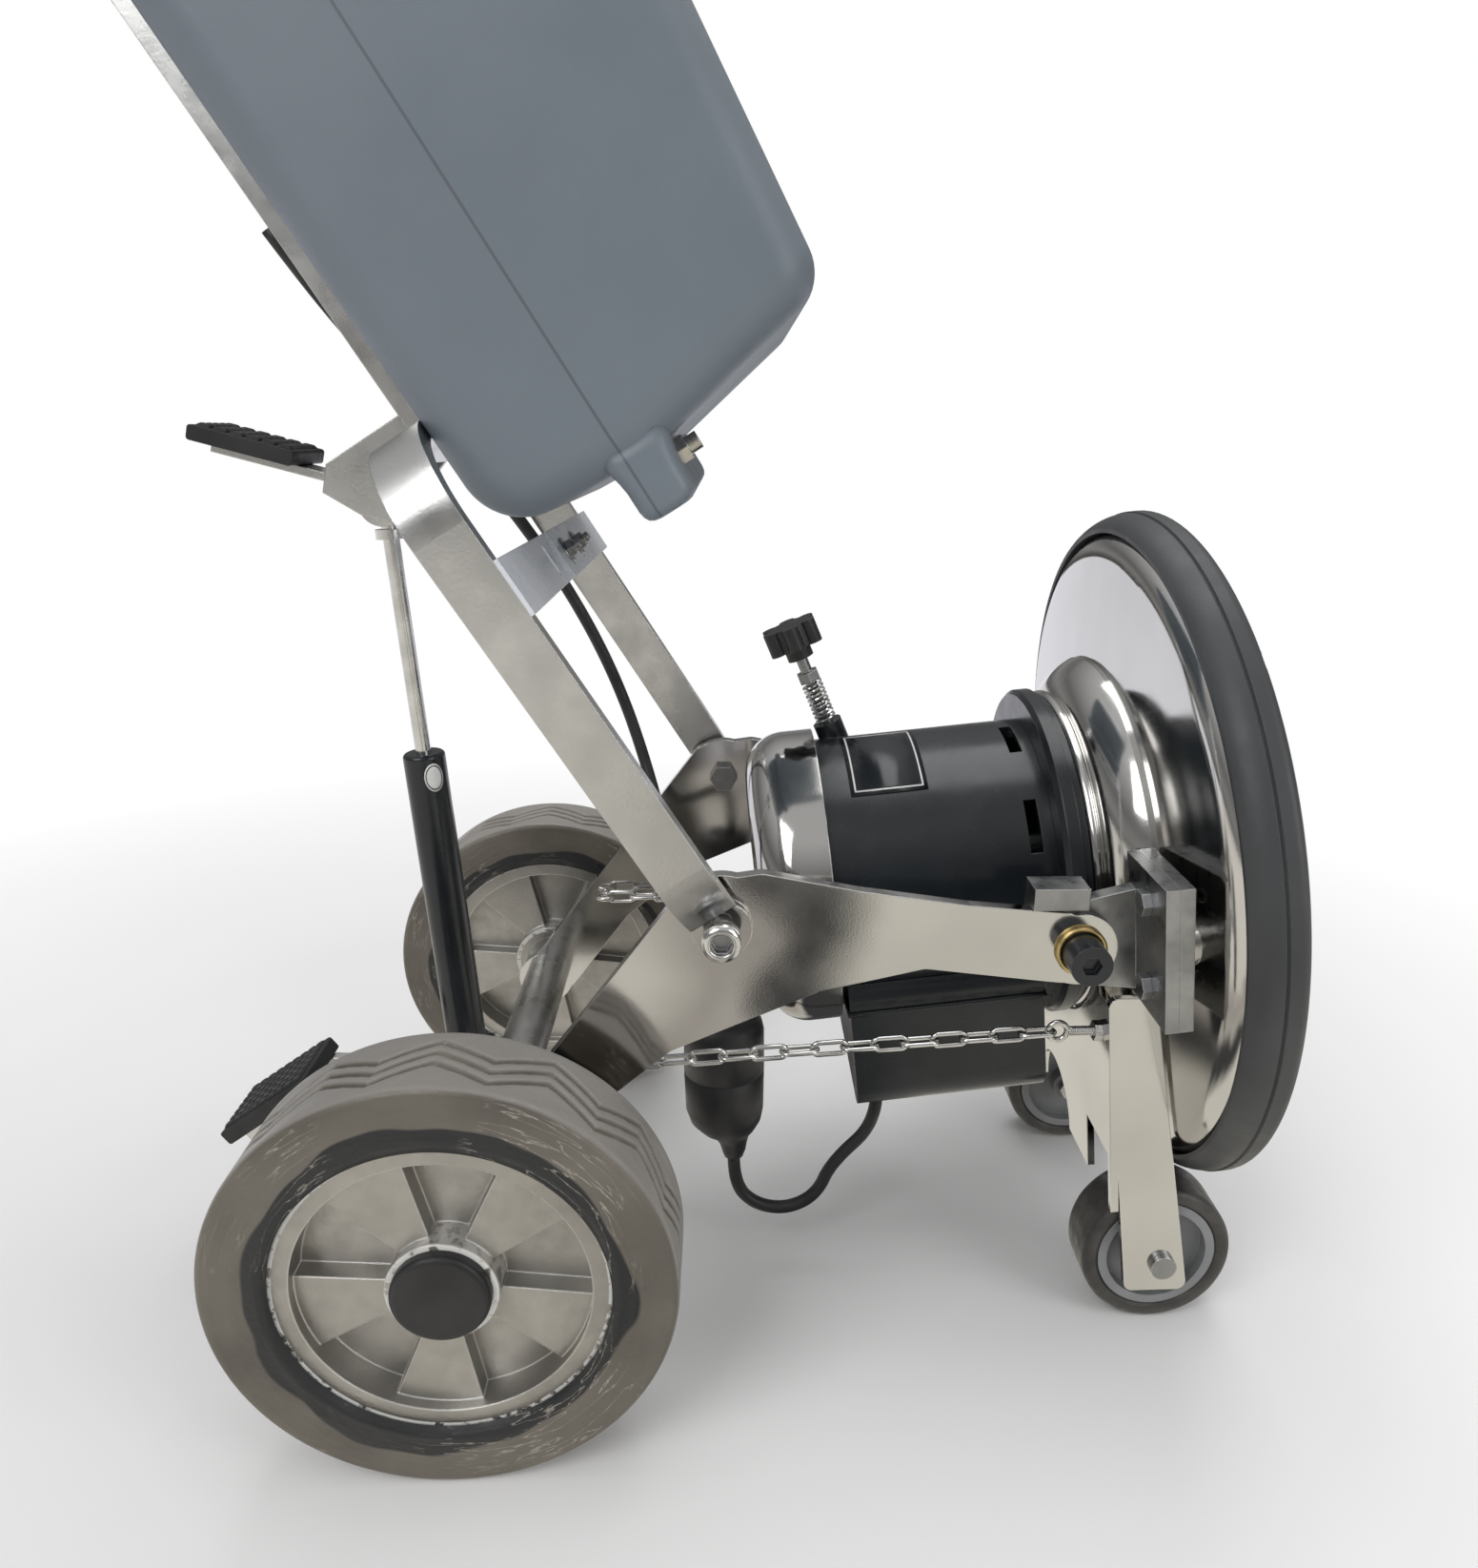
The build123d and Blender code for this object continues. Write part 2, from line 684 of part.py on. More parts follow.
with BuildPart() as pivot_lugs:
    for side in (RIGHT, LEFT):
        with BuildSketch(side_plane(side * LUG_OUT_Y)):
            with BuildLine():
                Polyline(
                    (HEAD_PIVOT[0], HEAD_PIVOT[1] + HEAD_LUG_R),
                    (lug_top.X, lug_top.Z),
                    (lug_low.X, lug_low.Z),
                    (HEAD_PIVOT[0], HEAD_PIVOT[1] - HEAD_LUG_R),
                    close=True,
                )
            make_face()
            with Locations(HEAD_PIVOT):
                Circle(HEAD_LUG_R)
            with Locations((STOP_MID, STOP_LOW_Z)):
                Rectangle(STOP_FRONT_DX - STOP_BACK_DX, 2 * STOP_H)
        extrude(amount=side * HEAD_LUG_T)
        with BuildSketch(head_plane(LUG_FLANGE_BACK)):
            with Locations((side * FLANGE_MID_Y, 0)):
                Rectangle(FLANGE_W, 2 * FLANGE_HALF_H)
        extrude(amount=FLANGE_T)
        with BuildSketch(side_plane(side * STOP_OUT_Y)):
            with Locations((STOP_MID, STOP_LOW_Z + STOP_H / 2)):
                Rectangle(STOP_FRONT_DX - STOP_BACK_DX, STOP_H)
        extrude(amount=side * (STOP_OUT_Y - LUG_OUT_Y + HEAD_LUG_T))
    with BuildSketch(side_plane(PLATE_OUT_Y)):
        with Locations(HEAD_PIVOT):
            Circle(HEAD_BOLT_R + RUN_FIT)
    extrude(amount=2 * PLATE_OUT_Y, mode=Mode.SUBTRACT)
    with BuildSketch(head_plane(LUG_FLANGE_BACK)):
        for side in (RIGHT, LEFT):
            with Locations(*[(side * y, up) for y, up in FLANGE_BOLT_SPOTS]):
                Circle(FLANGE_BOLT_R + RUN_FIT)
        Circle(HOUSING_R + SEAT_GAP)
    extrude(amount=FLANGE_T, mode=Mode.SUBTRACT)
save(pivot_lugs, "pivot_lugs")

with BuildPart() as flange_plates:
    with BuildSketch(head_plane(FLANGE_FRONT - FLANGE_T)):
        for side in (RIGHT, LEFT):
            with Locations((side * FLANGE_MID_Y, 0)):
                Rectangle(FLANGE_W, 2 * FLANGE_HALF_H)
            with Locations(*[(side * y, up) for y, up in FLANGE_BOLT_SPOTS]):
                Circle(FLANGE_BOLT_R + RUN_FIT, mode=Mode.SUBTRACT)
    extrude(amount=FLANGE_T)
    with BuildSketch(head_plane(FLANGE_FRONT - FLANGE_T)):
        Circle(HOUSING_R + SEAT_GAP)
    extrude(amount=FLANGE_T, mode=Mode.SUBTRACT)
save(flange_plates, "flange_plates")

# Dome cover with its bosses, rubber bumper and gear housing
SHOULDER_R = DOME_R - SHOULDER_W
SHOULDER = DOME_BACK + DOME_RISE
SHOULDER_END = SHOULDER + SHOULDER_L

with BuildPart() as dome:
    with BuildSketch(head_section()):
        with BuildLine():
            Line((DOME_BACK, HOUSING_R + SEAT_GAP), (SHOULDER, SHOULDER_R))
            ThreePointArc((SHOULDER, SHOULDER_R), (SHOULDER + 4.5, DOME_R - 5), (SHOULDER_END, DOME_R))
            Line((SHOULDER_END, DOME_R), (DOME_SKIRT, DOME_R))
            Line((DOME_SKIRT, DOME_R), (DOME_SKIRT, DOME_R - DOME_T))
            Line((DOME_SKIRT, DOME_R - DOME_T), (SHOULDER_END, DOME_R - DOME_T))
            ThreePointArc(
                (SHOULDER_END, DOME_R - DOME_T),
                (SHOULDER + 7, DOME_R - DOME_T - 4),
                (SHOULDER + DOME_T, SHOULDER_R - 1),
            )
            Line((SHOULDER + DOME_T, SHOULDER_R - 1), (DOME_BACK + DOME_T, HOUSING_R + SEAT_GAP))
            Line((DOME_BACK + DOME_T, HOUSING_R + SEAT_GAP), (DOME_BACK, HOUSING_R + SEAT_GAP))
        make_face()
    revolve(axis=HEAD_AXIS)
    with BuildSketch(head_plane(FLANGE_FRONT)):
        with Locations((FLANGE_BOLT_Y, 0), (-FLANGE_BOLT_Y, 0)):
            Circle(FLANGE_BOSS_R)
    extrude(amount=DOME_BACK + DOME_RISE - FLANGE_FRONT - DOME_T)
save(dome, "dome")

BUMPER_IN_R = DOME_R + SEAT_GAP

with BuildPart() as bumper:
    with BuildSketch(head_section()):
        with BuildLine():
            Line((BUMPER_BACK, BUMPER_IN_R), (BUMPER_BACK, BUMPER_IN_R + 3))
            ThreePointArc(
                (BUMPER_BACK, BUMPER_IN_R + 3),
                (BUMPER_BACK + 7, BUMPER_R - 3.5),
                (GROOVE, BUMPER_R - 0.8),
            )
            Line((GROOVE, BUMPER_R - 0.8), (GROOVE + 1, BUMPER_R - 1.8))
            Line((GROOVE + 1, BUMPER_R - 1.8), (GROOVE + 2, BUMPER_R))
            Line((GROOVE + 2, BUMPER_R), (BUMPER_BULGE + 2, BUMPER_R))
            ThreePointArc(
                (BUMPER_BULGE + 2, BUMPER_R),
                (BUMPER_FRONT - 2, BUMPER_R - 2),
                (BUMPER_FRONT, BUMPER_R - 7),
            )
            Line((BUMPER_FRONT, BUMPER_R - 7), (BUMPER_FRONT, BUMPER_LIP_R))
            Line((BUMPER_FRONT, BUMPER_LIP_R), (DOME_SKIRT + SEAT_GAP, BUMPER_LIP_R))
            Line((DOME_SKIRT + SEAT_GAP, BUMPER_LIP_R), (DOME_SKIRT + SEAT_GAP, BUMPER_IN_R))
            Line((DOME_SKIRT + SEAT_GAP, BUMPER_IN_R), (BUMPER_BACK, BUMPER_IN_R))
        make_face()
    revolve(axis=HEAD_AXIS)
save(bumper, "bumper")

CAVITY_FRONT = HOUSING_FRONT - HOUSING_WALL

with BuildPart() as gear_housing:
    with BuildSketch(head_section()):
        with BuildLine():
            Line((HOUSING_BACK, CAVITY_R), (HOUSING_BACK, HOUSING_NECK_R - 4))
            ThreePointArc(
                (HOUSING_BACK, HOUSING_NECK_R - 4),
                (HOUSING_BACK + 4, HOUSING_NECK_R),
                (HOUSING_BACK + 8, HOUSING_NECK_R - 3),
            )
            ThreePointArc(
                (HOUSING_BACK + 8, HOUSING_NECK_R - 3),
                (HOUSING_FRONT - 20, HOUSING_R - 8),
                (HOUSING_FRONT - 8, HOUSING_R),
            )
            Line((HOUSING_FRONT - 8, HOUSING_R), (HOUSING_FRONT, HOUSING_R))
            Line((HOUSING_FRONT, HOUSING_R), (HOUSING_FRONT, OUTPUT_R + RUN_FIT))
            Line((HOUSING_FRONT, OUTPUT_R + RUN_FIT), (CAVITY_FRONT, OUTPUT_R + RUN_FIT))
            Line((CAVITY_FRONT, OUTPUT_R + RUN_FIT), (CAVITY_FRONT, CAVITY_R))
            Line((CAVITY_FRONT, CAVITY_R), (HOUSING_BACK, CAVITY_R))
        make_face()
    revolve(axis=HEAD_AXIS)
save(gear_housing, "gear_housing")

turned(
    "motor_flange",
    [
        (FLANGE_BACK, SHAFT_R + RUN_FIT),
        (FLANGE_BACK, FLANGE_R - 3),
        (FLANGE_BACK + 3, FLANGE_R),
        (HOUSING_BACK - 5, FLANGE_R),
        (HOUSING_BACK - 5, FLANGE_R - 3),
        (HOUSING_BACK, FLANGE_R - 3),
        (HOUSING_BACK, SHAFT_R + RUN_FIT),
    ],
    head_section(),
    HEAD_AXIS,
)

# Motor: shell with vent slots and the adjuster's seat, end cap, stator
ADJUST_LEAN = radians(ADJUST_LEAN_DEG)
ADJUST_DIR = Vector(-sin(ADJUST_LEAN), 0, cos(ADJUST_LEAN))
ADJUST_BASE = Vector(AXLE_X + ADJUST_DX, ADJUST_Y, ADJUST_Z)
MOTOR_IN_R = MOTOR_R - MOTOR_WALL


def adjuster_plane(along):
    """Cross-section of the adjuster; extruding goes up its screw."""
    return Plane(origin=ADJUST_BASE + ADJUST_DIR * along, x_dir=(0, 1, 0), z_dir=ADJUST_DIR)


with BuildPart() as motor_shell:
    with BuildSketch(head_plane(MOTOR_BACK)):
        Circle(MOTOR_R)
    extrude(amount=FLANGE_BACK - MOTOR_BACK)
    with BuildSketch(adjuster_plane(-ADJUST_SEAT_H)):
        Circle(ADJUST_SEAT_R)
    extrude(amount=2 * ADJUST_SEAT_H)
    with BuildSketch(head_plane(MOTOR_BACK)):
        Circle(MOTOR_IN_R)
    extrude(amount=FLANGE_BACK - MOTOR_BACK, mode=Mode.SUBTRACT)
    with BuildSketch(head_plane(FLANGE_BACK - 2 * VENT_W)):
        with PolarLocations(MOTOR_R, VENT_COUNT, start_angle=14):
            Rectangle(4 * MOTOR_WALL, VENT_L)
    extrude(amount=VENT_W, mode=Mode.SUBTRACT)
    with BuildSketch(adjuster_plane(0)):
        Circle(ADJUST_ROD_R + RUN_FIT)
    extrude(amount=ADJUST_SEAT_H, mode=Mode.SUBTRACT)
save(motor_shell, "motor_shell")

CAP_R = MOTOR_R + CAP_PROUD
CAP_LIP = MOTOR_BACK + CAP_LAP
SHAFT_END = CAP_BACK + 3 * CAP_T

with BuildPart() as motor_end_cap:
    with BuildSketch(head_section()):
        with BuildLine():
            Line((CAP_LIP, CAP_R), (CAP_BACK + CAP_ROUND, CAP_R))
            RadiusArc((CAP_BACK + CAP_ROUND, CAP_R), (CAP_BACK, CAP_R - CAP_ROUND), -CAP_ROUND)
            Line((CAP_BACK, CAP_R - CAP_ROUND), (CAP_BACK, 0))
            Line((CAP_BACK, 0), (SHAFT_END - CAP_T, 0))
            Line((SHAFT_END - CAP_T, 0), (SHAFT_END - CAP_T, SHAFT_R + RUN_FIT))
            Line((SHAFT_END - CAP_T, SHAFT_R + RUN_FIT), (SHAFT_END + 4 * CAP_T, SHAFT_R + RUN_FIT))
            Line((SHAFT_END + 4 * CAP_T, SHAFT_R + RUN_FIT), (SHAFT_END + 4 * CAP_T, 2 * SHAFT_R))
            Line((SHAFT_END + 4 * CAP_T, 2 * SHAFT_R), (CAP_BACK + CAP_T, 2 * SHAFT_R))
            Line((CAP_BACK + CAP_T, 2 * SHAFT_R), (CAP_BACK + CAP_T, CAP_R - CAP_ROUND))
            RadiusArc(
                (CAP_BACK + CAP_T, CAP_R - CAP_ROUND),
                (CAP_BACK + CAP_ROUND, CAP_R - CAP_T),
                CAP_ROUND - CAP_T,
            )
            Line((CAP_BACK + CAP_ROUND, CAP_R - CAP_T), (MOTOR_BACK, CAP_R - CAP_T))
            Line((MOTOR_BACK, CAP_R - CAP_T), (MOTOR_BACK, MOTOR_R + SEAT_GAP))
            Line((MOTOR_BACK, MOTOR_R + SEAT_GAP), (CAP_LIP, MOTOR_R + SEAT_GAP))
            Line((CAP_LIP, MOTOR_R + SEAT_GAP), (CAP_LIP, CAP_R))
        make_face()
    revolve(axis=HEAD_AXIS)
save(motor_end_cap, "motor_end_cap")

with BuildPart() as stator:
    with BuildSketch(head_plane(STATOR_BACK)):
        Circle(MOTOR_IN_R - SEAT_GAP)
        Circle(ROTOR_R + AIR_GAP, mode=Mode.SUBTRACT)
    extrude(amount=STATOR_FRONT - STATOR_BACK)
save(stator, "stator")


# Planetary gears with straight-flanked teeth; the sun is cut on the rotor's shaft
def tooth(teeth, inward):
    """Corners of one tooth on the local x axis, root to tip."""
    pitch_r = GEAR_MODULE * teeth / 2
    sign = -1 if inward else 1
    half = radians(180 / teeth) * TOOTH_SHARE * 2
    root = pitch_r - sign * GEAR_MODULE * (DEDENDUM + 0.3)
    tip = pitch_r + sign * GEAR_MODULE * ADDENDUM
    wide = half * pitch_r * 1.25 / 2
    slim = half * pitch_r * 0.62 / 2
    return [(root, -wide), (tip, -slim), (tip, slim), (root, wide)]


def gear(name, teeth, centre, bore_r, turn_deg):
    """An external gear about an axis parallel to the head's."""
    root_r = GEAR_MODULE * (teeth / 2 - DEDENDUM)
    origin = HEAD_POINT + HEAD_DIR * GEAR_BACK + Vector(0, centre[0], 0) + HEAD_UP * centre[1]
    with BuildPart() as piece:
        with BuildSketch(Plane(origin=origin, x_dir=(0, 1, 0), z_dir=HEAD_DIR)):
            Circle(root_r)
            with PolarLocations(0, teeth, start_angle=turn_deg):
                Polygon(*tooth(teeth, False), align=None)
            Circle(bore_r, mode=Mode.SUBTRACT)
        extrude(amount=GEAR_W)
    save(piece, name)


PLANET_ORBIT = GEAR_MODULE * (SUN_TEETH + PLANET_TEETH) / 2
PLANET_SPOTS = [
    (
        PLANET_ORBIT * cos(radians(360 * k / PLANET_COUNT)),
        PLANET_ORBIT * sin(radians(360 * k / PLANET_COUNT)),
    )
    for k in range(PLANET_COUNT)
]

with BuildPart() as rotor:
    with BuildSketch(head_section()):
        with BuildLine():
            Polyline(
                (SHAFT_END, 0),
                (SHAFT_END, SHAFT_R),
                (STATOR_BACK, SHAFT_R),
                (STATOR_BACK, ROTOR_R),
                (STATOR_FRONT, ROTOR_R),
                (STATOR_FRONT, SHAFT_R),
                (GEAR_BACK, SHAFT_R),
                (GEAR_BACK, 0),
                close=True,
            )
        make_face()
    revolve(axis=HEAD_AXIS)
    with BuildSketch(head_plane(GEAR_BACK)):
        Circle(GEAR_MODULE * (SUN_TEETH / 2 - DEDENDUM))
        with PolarLocations(0, SUN_TEETH):
            Polygon(*tooth(SUN_TEETH, False), align=None)
    extrude(amount=GEAR_W)
save(rotor, "rotor")
for number, spot in enumerate(PLANET_SPOTS):
    planet_turn = 360 * number / PLANET_COUNT + 180 / PLANET_TEETH
    gear(f"planet_gear_{number + 1}", PLANET_TEETH, spot, PLANET_PIN_R + RUN_FIT, planet_turn)

RING_ROOT_R = GEAR_MODULE * (RING_TEETH / 2 + DEDENDUM)
with BuildPart() as ring_gear:
    with BuildSketch(head_plane(GEAR_BACK)):
        Circle(CAVITY_R - SEAT_GAP)
        Circle(RING_ROOT_R, mode=Mode.SUBTRACT)
        with PolarLocations(0, RING_TEETH):
            Polygon(*tooth(RING_TEETH, True), align=None)
    extrude(amount=GEAR_W)
save(ring_gear, "ring_gear")

CARRIER_BACK = CAVITY_FRONT - 1.0 - CARRIER_T
with BuildPart() as planet_carrier:
    with BuildSketch(head_plane(CARRIER_BACK)):
        Circle(CARRIER_R)
    extrude(amount=CARRIER_T)
    with BuildSketch(head_plane(GEAR_BACK - 1)):
        with Locations(*PLANET_SPOTS):
            Circle(PLANET_PIN_R)
    extrude(amount=CARRIER_BACK - GEAR_BACK + 1)
    with BuildSketch(head_plane(CARRIER_BACK)):
        Circle(OUTPUT_R)
    extrude(amount=PAD_BACK - CARRIER_BACK)
save(planet_carrier, "planet_carrier")

turned(
    "pad_driver",
    [
        (PAD_BACK, 0),
        (PAD_BACK, PAD_HUB_R),
        (PAD_FRONT - PAD_CONE_T, PAD_CONE_R),
        (PAD_FRONT - PAD_BOARD_T, PAD_R - PAD_BEVEL),
        (PAD_FRONT - PAD_EDGE_T, PAD_R),
        (PAD_FRONT, PAD_R),
        (PAD_FRONT, 0),
    ],
    head_section(),
    HEAD_AXIS,
)

# Capacitor box saddled under the motor
with BuildPart() as capacitor_box:
    with BuildSketch(head_plane(CAN_BACK)):
        with Locations((0, -(CAN_LOW + CAN_HIGH) / 2)):
            Rectangle(2 * CAN_HALF_Y, CAN_LOW - CAN_HIGH)
        fillet(vertices().group_by(Axis.Z)[0], radius=CAN_ROUND)
        Circle(MOTOR_R + SEAT_GAP, mode=Mode.SUBTRACT)
    extrude(amount=CAN_FRONT - CAN_BACK)
save(capacitor_box, "capacitor_box")

# Stand: web saddled under the flange, two legs, chain eyes welded to the web
WEB_FACE_X = HEAD_POINT.X + WEB_BACK * cos(HEAD_TILT) - (CHAIN_EYE_Z - HEAD_Z) * tan(HEAD_TILT)
LEG_REAR_TOP = (AXLE_X + LEG_TOP_DX - LEG_TOP_W / 2, LEG_TOP_Z)
LEG_FRONT_TOP = (AXLE_X + LEG_TOP_DX + LEG_TOP_W / 2, LEG_TOP_Z)
LEG_REAR_FOOT = (CASTER[0] - LEG_FOOT_W / 2 - 2, LEG_FOOT_Z)
LEG_FRONT_FOOT = (CASTER[0] + LEG_FOOT_W / 2 - 2, LEG_FOOT_Z)

with BuildPart() as stand:
    with BuildSketch(head_plane(WEB_BACK)):
        with Locations((0, -(WEB_LOW + WEB_HIGH) / 2)):
            Rectangle(2 * LEG_OUT_Y, WEB_LOW - WEB_HIGH)
        Circle(FLANGE_R + SEAT_GAP, mode=Mode.SUBTRACT)
        with Locations((0, -WEB_LOW)):
            Circle(WEB_ARCH_R * 0.6, mode=Mode.SUBTRACT)
        notch_w = CASTER_W + 6 * WASHER_GAP
        with Locations((CASTER_Y, -WEB_LOW), (-CASTER_Y, -WEB_LOW)):
            Rectangle(notch_w, 0.55 * (WEB_LOW - WEB_HIGH), mode=Mode.SUBTRACT)
    extrude(amount=STAND_T)
    for side in (RIGHT, LEFT):
        with BuildSketch(side_plane(side * LEG_OUT_Y)):
            with BuildLine():
                Polyline(LEG_REAR_TOP, LEG_FRONT_TOP, LEG_FRONT_FOOT, LEG_REAR_FOOT, close=True)
            make_face()
            fillet(vertices().group_by(Axis.Z)[0], radius=6)
        extrude(amount=side * STAND_T)
        eye = chain_front(side)
        with BuildSketch(Plane(origin=eye + Vector(0, 0, EYE_R), x_dir=(0, 1, 0), z_dir=(1, 0, 0))):
            Circle(EYE_WIRE_R)
        revolve(axis=Axis(eye, (0, 1, 0)))
        with BuildSketch(Plane(origin=eye + Vector(EYE_R, 0, 0), x_dir=(0, 1, 0), z_dir=(1, 0, 0))):
            Circle(EYE_WIRE_R)
        extrude(amount=WEB_FACE_X - eye.X - EYE_R + STAND_T / 2)
    with BuildSketch(side_plane(LEG_OUT_Y)):
        with Locations(CASTER):
            Circle(CASTER_BOLT_R + RUN_FIT)
    extrude(amount=2 * LEG_OUT_Y, mode=Mode.SUBTRACT)
save(stand, "stand")

CASTER_IN_Y = CASTER_Y - CASTER_W / 2 - WASHER_GAP
with BuildPart() as head_bolts:
    for side in (RIGHT, LEFT):
        spots = [(side * y, up) for y, up in FLANGE_BOLT_SPOTS]
        with BuildSketch(head_plane(LUG_FLANGE_BACK)):
            with Locations(*spots):
                RegularPolygon(FLANGE_BOLT_R * 1.9, 6)
        extrude(amount=-FLANGE_BOLT_R * 1.4)
        with BuildSketch(head_plane(LUG_FLANGE_BACK)):
            with Locations(*spots):
                Circle(FLANGE_BOLT_R)
        extrude(amount=2 * FLANGE_T)
    for side in (RIGHT, LEFT):
        with BuildSketch(round_plane(CASTER, side * LEG_OUT_Y)):
            Circle(CASTER_BOLT_R * 1.7)
        extrude(amount=-side * CASTER_BOLT_R * 0.8)
        with BuildSketch(round_plane(CASTER, side * LEG_OUT_Y)):
            Circle(CASTER_BOLT_R)
        extrude(amount=side * (LEG_OUT_Y - CASTER_IN_Y))
        with BuildSketch(round_plane(CASTER, side * CASTER_IN_Y)):
            RegularPolygon(CASTER_BOLT_R * 1.8, 6)
        extrude(amount=side * CASTER_BOLT_R)
save(head_bolts, "head_bolts")


def caster(side, suffix):
    """Plastic hub and rubber tyre of one small wheel."""
    mid = side * CASTER_Y
    half = CASTER_W / 2
    with BuildPart() as hub:
        with BuildSketch(axle_section(CASTER)):
            with Locations((mid, (CASTER_BOLT_R + RUN_FIT + CASTER_HUB_R) / 2)):
                Rectangle(0.4 * CASTER_W, CASTER_HUB_R - CASTER_BOLT_R - RUN_FIT)
            with Locations((mid, CASTER_HUB_R - 3)):
                Rectangle(CASTER_W - 4, 6)
            with Locations((mid, CASTER_BOLT_R + RUN_FIT + 4)):
                Rectangle(CASTER_W, 8)
        revolve(axis=cross_axis(CASTER))
    save(hub, f"caster_hub_{suffix}")
    with BuildPart() as tyre:
        with BuildSketch(axle_section(CASTER)):
            with Locations((mid, (CASTER_HUB_R + CASTER_R) / 2)):
                Rectangle(CASTER_W, CASTER_R - CASTER_HUB_R)
            fillet(vertices().group_by(Axis.Z)[-1], radius=half / 4)
        revolve(axis=cross_axis(CASTER))
    save(tyre, f"caster_tyre_{suffix}")


caster(RIGHT, "right")
caster(LEFT, "left")

# Safety chains: separate links, each turned a quarter about the chain against the last
def chain(side, name):
    """Interlocked links from the stand's eye to the side plate's eye."""
    start = chain_front(side)
    end = chain_back(side)
    run = (end - start).normalized()
    across = Vector(0, 0, 1).cross(run).normalized()
    up = run.cross(across)
    half = LINK_L / 2 - LINK_W / 2
    bend = LINK_W / 2 - LINK_WIRE_R
    with BuildPart() as links:
        for number in range(LINK_COUNT):
            centre = start + run * (EYE_LINK_REACH + number * LINK_PITCH)
            wide = up if number % 2 else across
            with BuildLine(Plane(origin=centre, x_dir=run, z_dir=run.cross(wide))) as path:
                Line((-half, bend), (half, bend))
                ThreePointArc((half, bend), (half + bend, 0), (half, -bend))
                Line((half, -bend), (-half, -bend))
                ThreePointArc((-half, -bend), (-half - bend, 0), (-half, bend))
            with BuildSketch(Plane(origin=centre + wide * bend, x_dir=wide, z_dir=run)):
                RegularPolygon(LINK_WIRE_R, 6)
            sweep(path=path.line)
    save(links, name)


chain(RIGHT, "chain_right")
chain(LEFT, "chain_left")

# Head adjuster: star knob on a screw, with a coil spring round it
SPRING_LOW = ADJUST_SEAT_H + SEAT_GAP + SPRING_WIRE_R
SPRING_PITCH = (SPRING_L - 2 * SPRING_WIRE_R) / SPRING_TURNS
NUT_LOW = SPRING_LOW + SPRING_L - SPRING_WIRE_R + SEAT_GAP
KNOB_LOW = ADJUST_ROD_L

QUARTERS = 4


def coil_point(turn):
    """A point of the spring's middle line after a number of turns."""
    angle = radians(360 * turn)
    out = adjuster_plane(SPRING_LOW + SPRING_PITCH * turn)
    return out.from_local_coords(Vector(SPRING_R * cos(angle), SPRING_R * sin(angle), 0))


def coil_heading(turn):
    """The direction of the spring's middle line after a number of turns."""
    angle = radians(360 * turn)
    rise = SPRING_PITCH / (2 * pi)
    plane = adjuster_plane(0)
    lead_way = plane.x_dir * (-SPRING_R * sin(angle)) + plane.y_dir * (SPRING_R * cos(angle))
    return (lead_way + plane.z_dir * rise).normalized()


with BuildPart() as adjuster_spring:
    with BuildLine() as coil:
        for quarter in range(SPRING_TURNS * QUARTERS):
            here = coil_point(quarter / QUARTERS)
            there = coil_point((quarter + 1) / QUARTERS)
            leave = coil_heading(quarter / QUARTERS)
            arrive = coil_heading((quarter + 1) / QUARTERS)
            chord = there - here
            square = 2 * (1 - leave.dot(arrive))
            linear = 2 * chord.dot(leave + arrive)
            reach = (-linear + (linear ** 2 + 4 * square * chord.dot(chord)) ** 0.5) / (2 * square)
            near = here + leave * reach
            far = there - arrive * reach
            middle = (near + far) * 0.5
            TangentArc(here, middle, tangent=leave)
            TangentArc(middle, there, tangent=far - near)
    with BuildSketch(Plane(origin=coil_point(0), z_dir=coil_heading(0))):
        RegularPolygon(SPRING_WIRE_R, 6)
    sweep(path=coil.wires()[0])
save(adjuster_spring, "adjuster_spring")
curl_gaps = [
    (coil_point(step / 16) - coil_point(step / 16 + 1)).length - 2 * SPRING_WIRE_R
    for step in range(16 * (SPRING_TURNS - 1))
]
print("adjuster spring: least gap between curls", round(min(curl_gaps), 2), "mm")

with BuildPart() as adjuster_screw:
    with BuildSketch(adjuster_plane(2)):
        Circle(ADJUST_ROD_R)
    extrude(amount=ADJUST_ROD_L - 2)
    with BuildSketch(adjuster_plane(NUT_LOW)):
        RegularPolygon(ADJUST_NUT_R, 6)
    extrude(amount=ADJUST_NUT_H)
save(adjuster_screw, "adjuster_screw")

with BuildPart() as adjuster_knob:
    with BuildSketch(adjuster_plane(KNOB_LOW)):
        Circle(KNOB_R * 0.72)
        with PolarLocations(KNOB_R * 0.72, KNOB_LOBES):
            Circle(KNOB_R * 0.28)
    extrude(amount=KNOB_H)
    with BuildSketch(adjuster_plane(KNOB_LOW)):
        Circle(KNOB_R * 0.45)
    extrude(amount=-KNOB_H * 0.5)
    with BuildSketch(adjuster_plane(KNOB_LOW - KNOB_H)):
        Circle(ADJUST_ROD_R)
    extrude(amount=KNOB_H, mode=Mode.SUBTRACT)
save(adjuster_knob, "adjuster_knob")

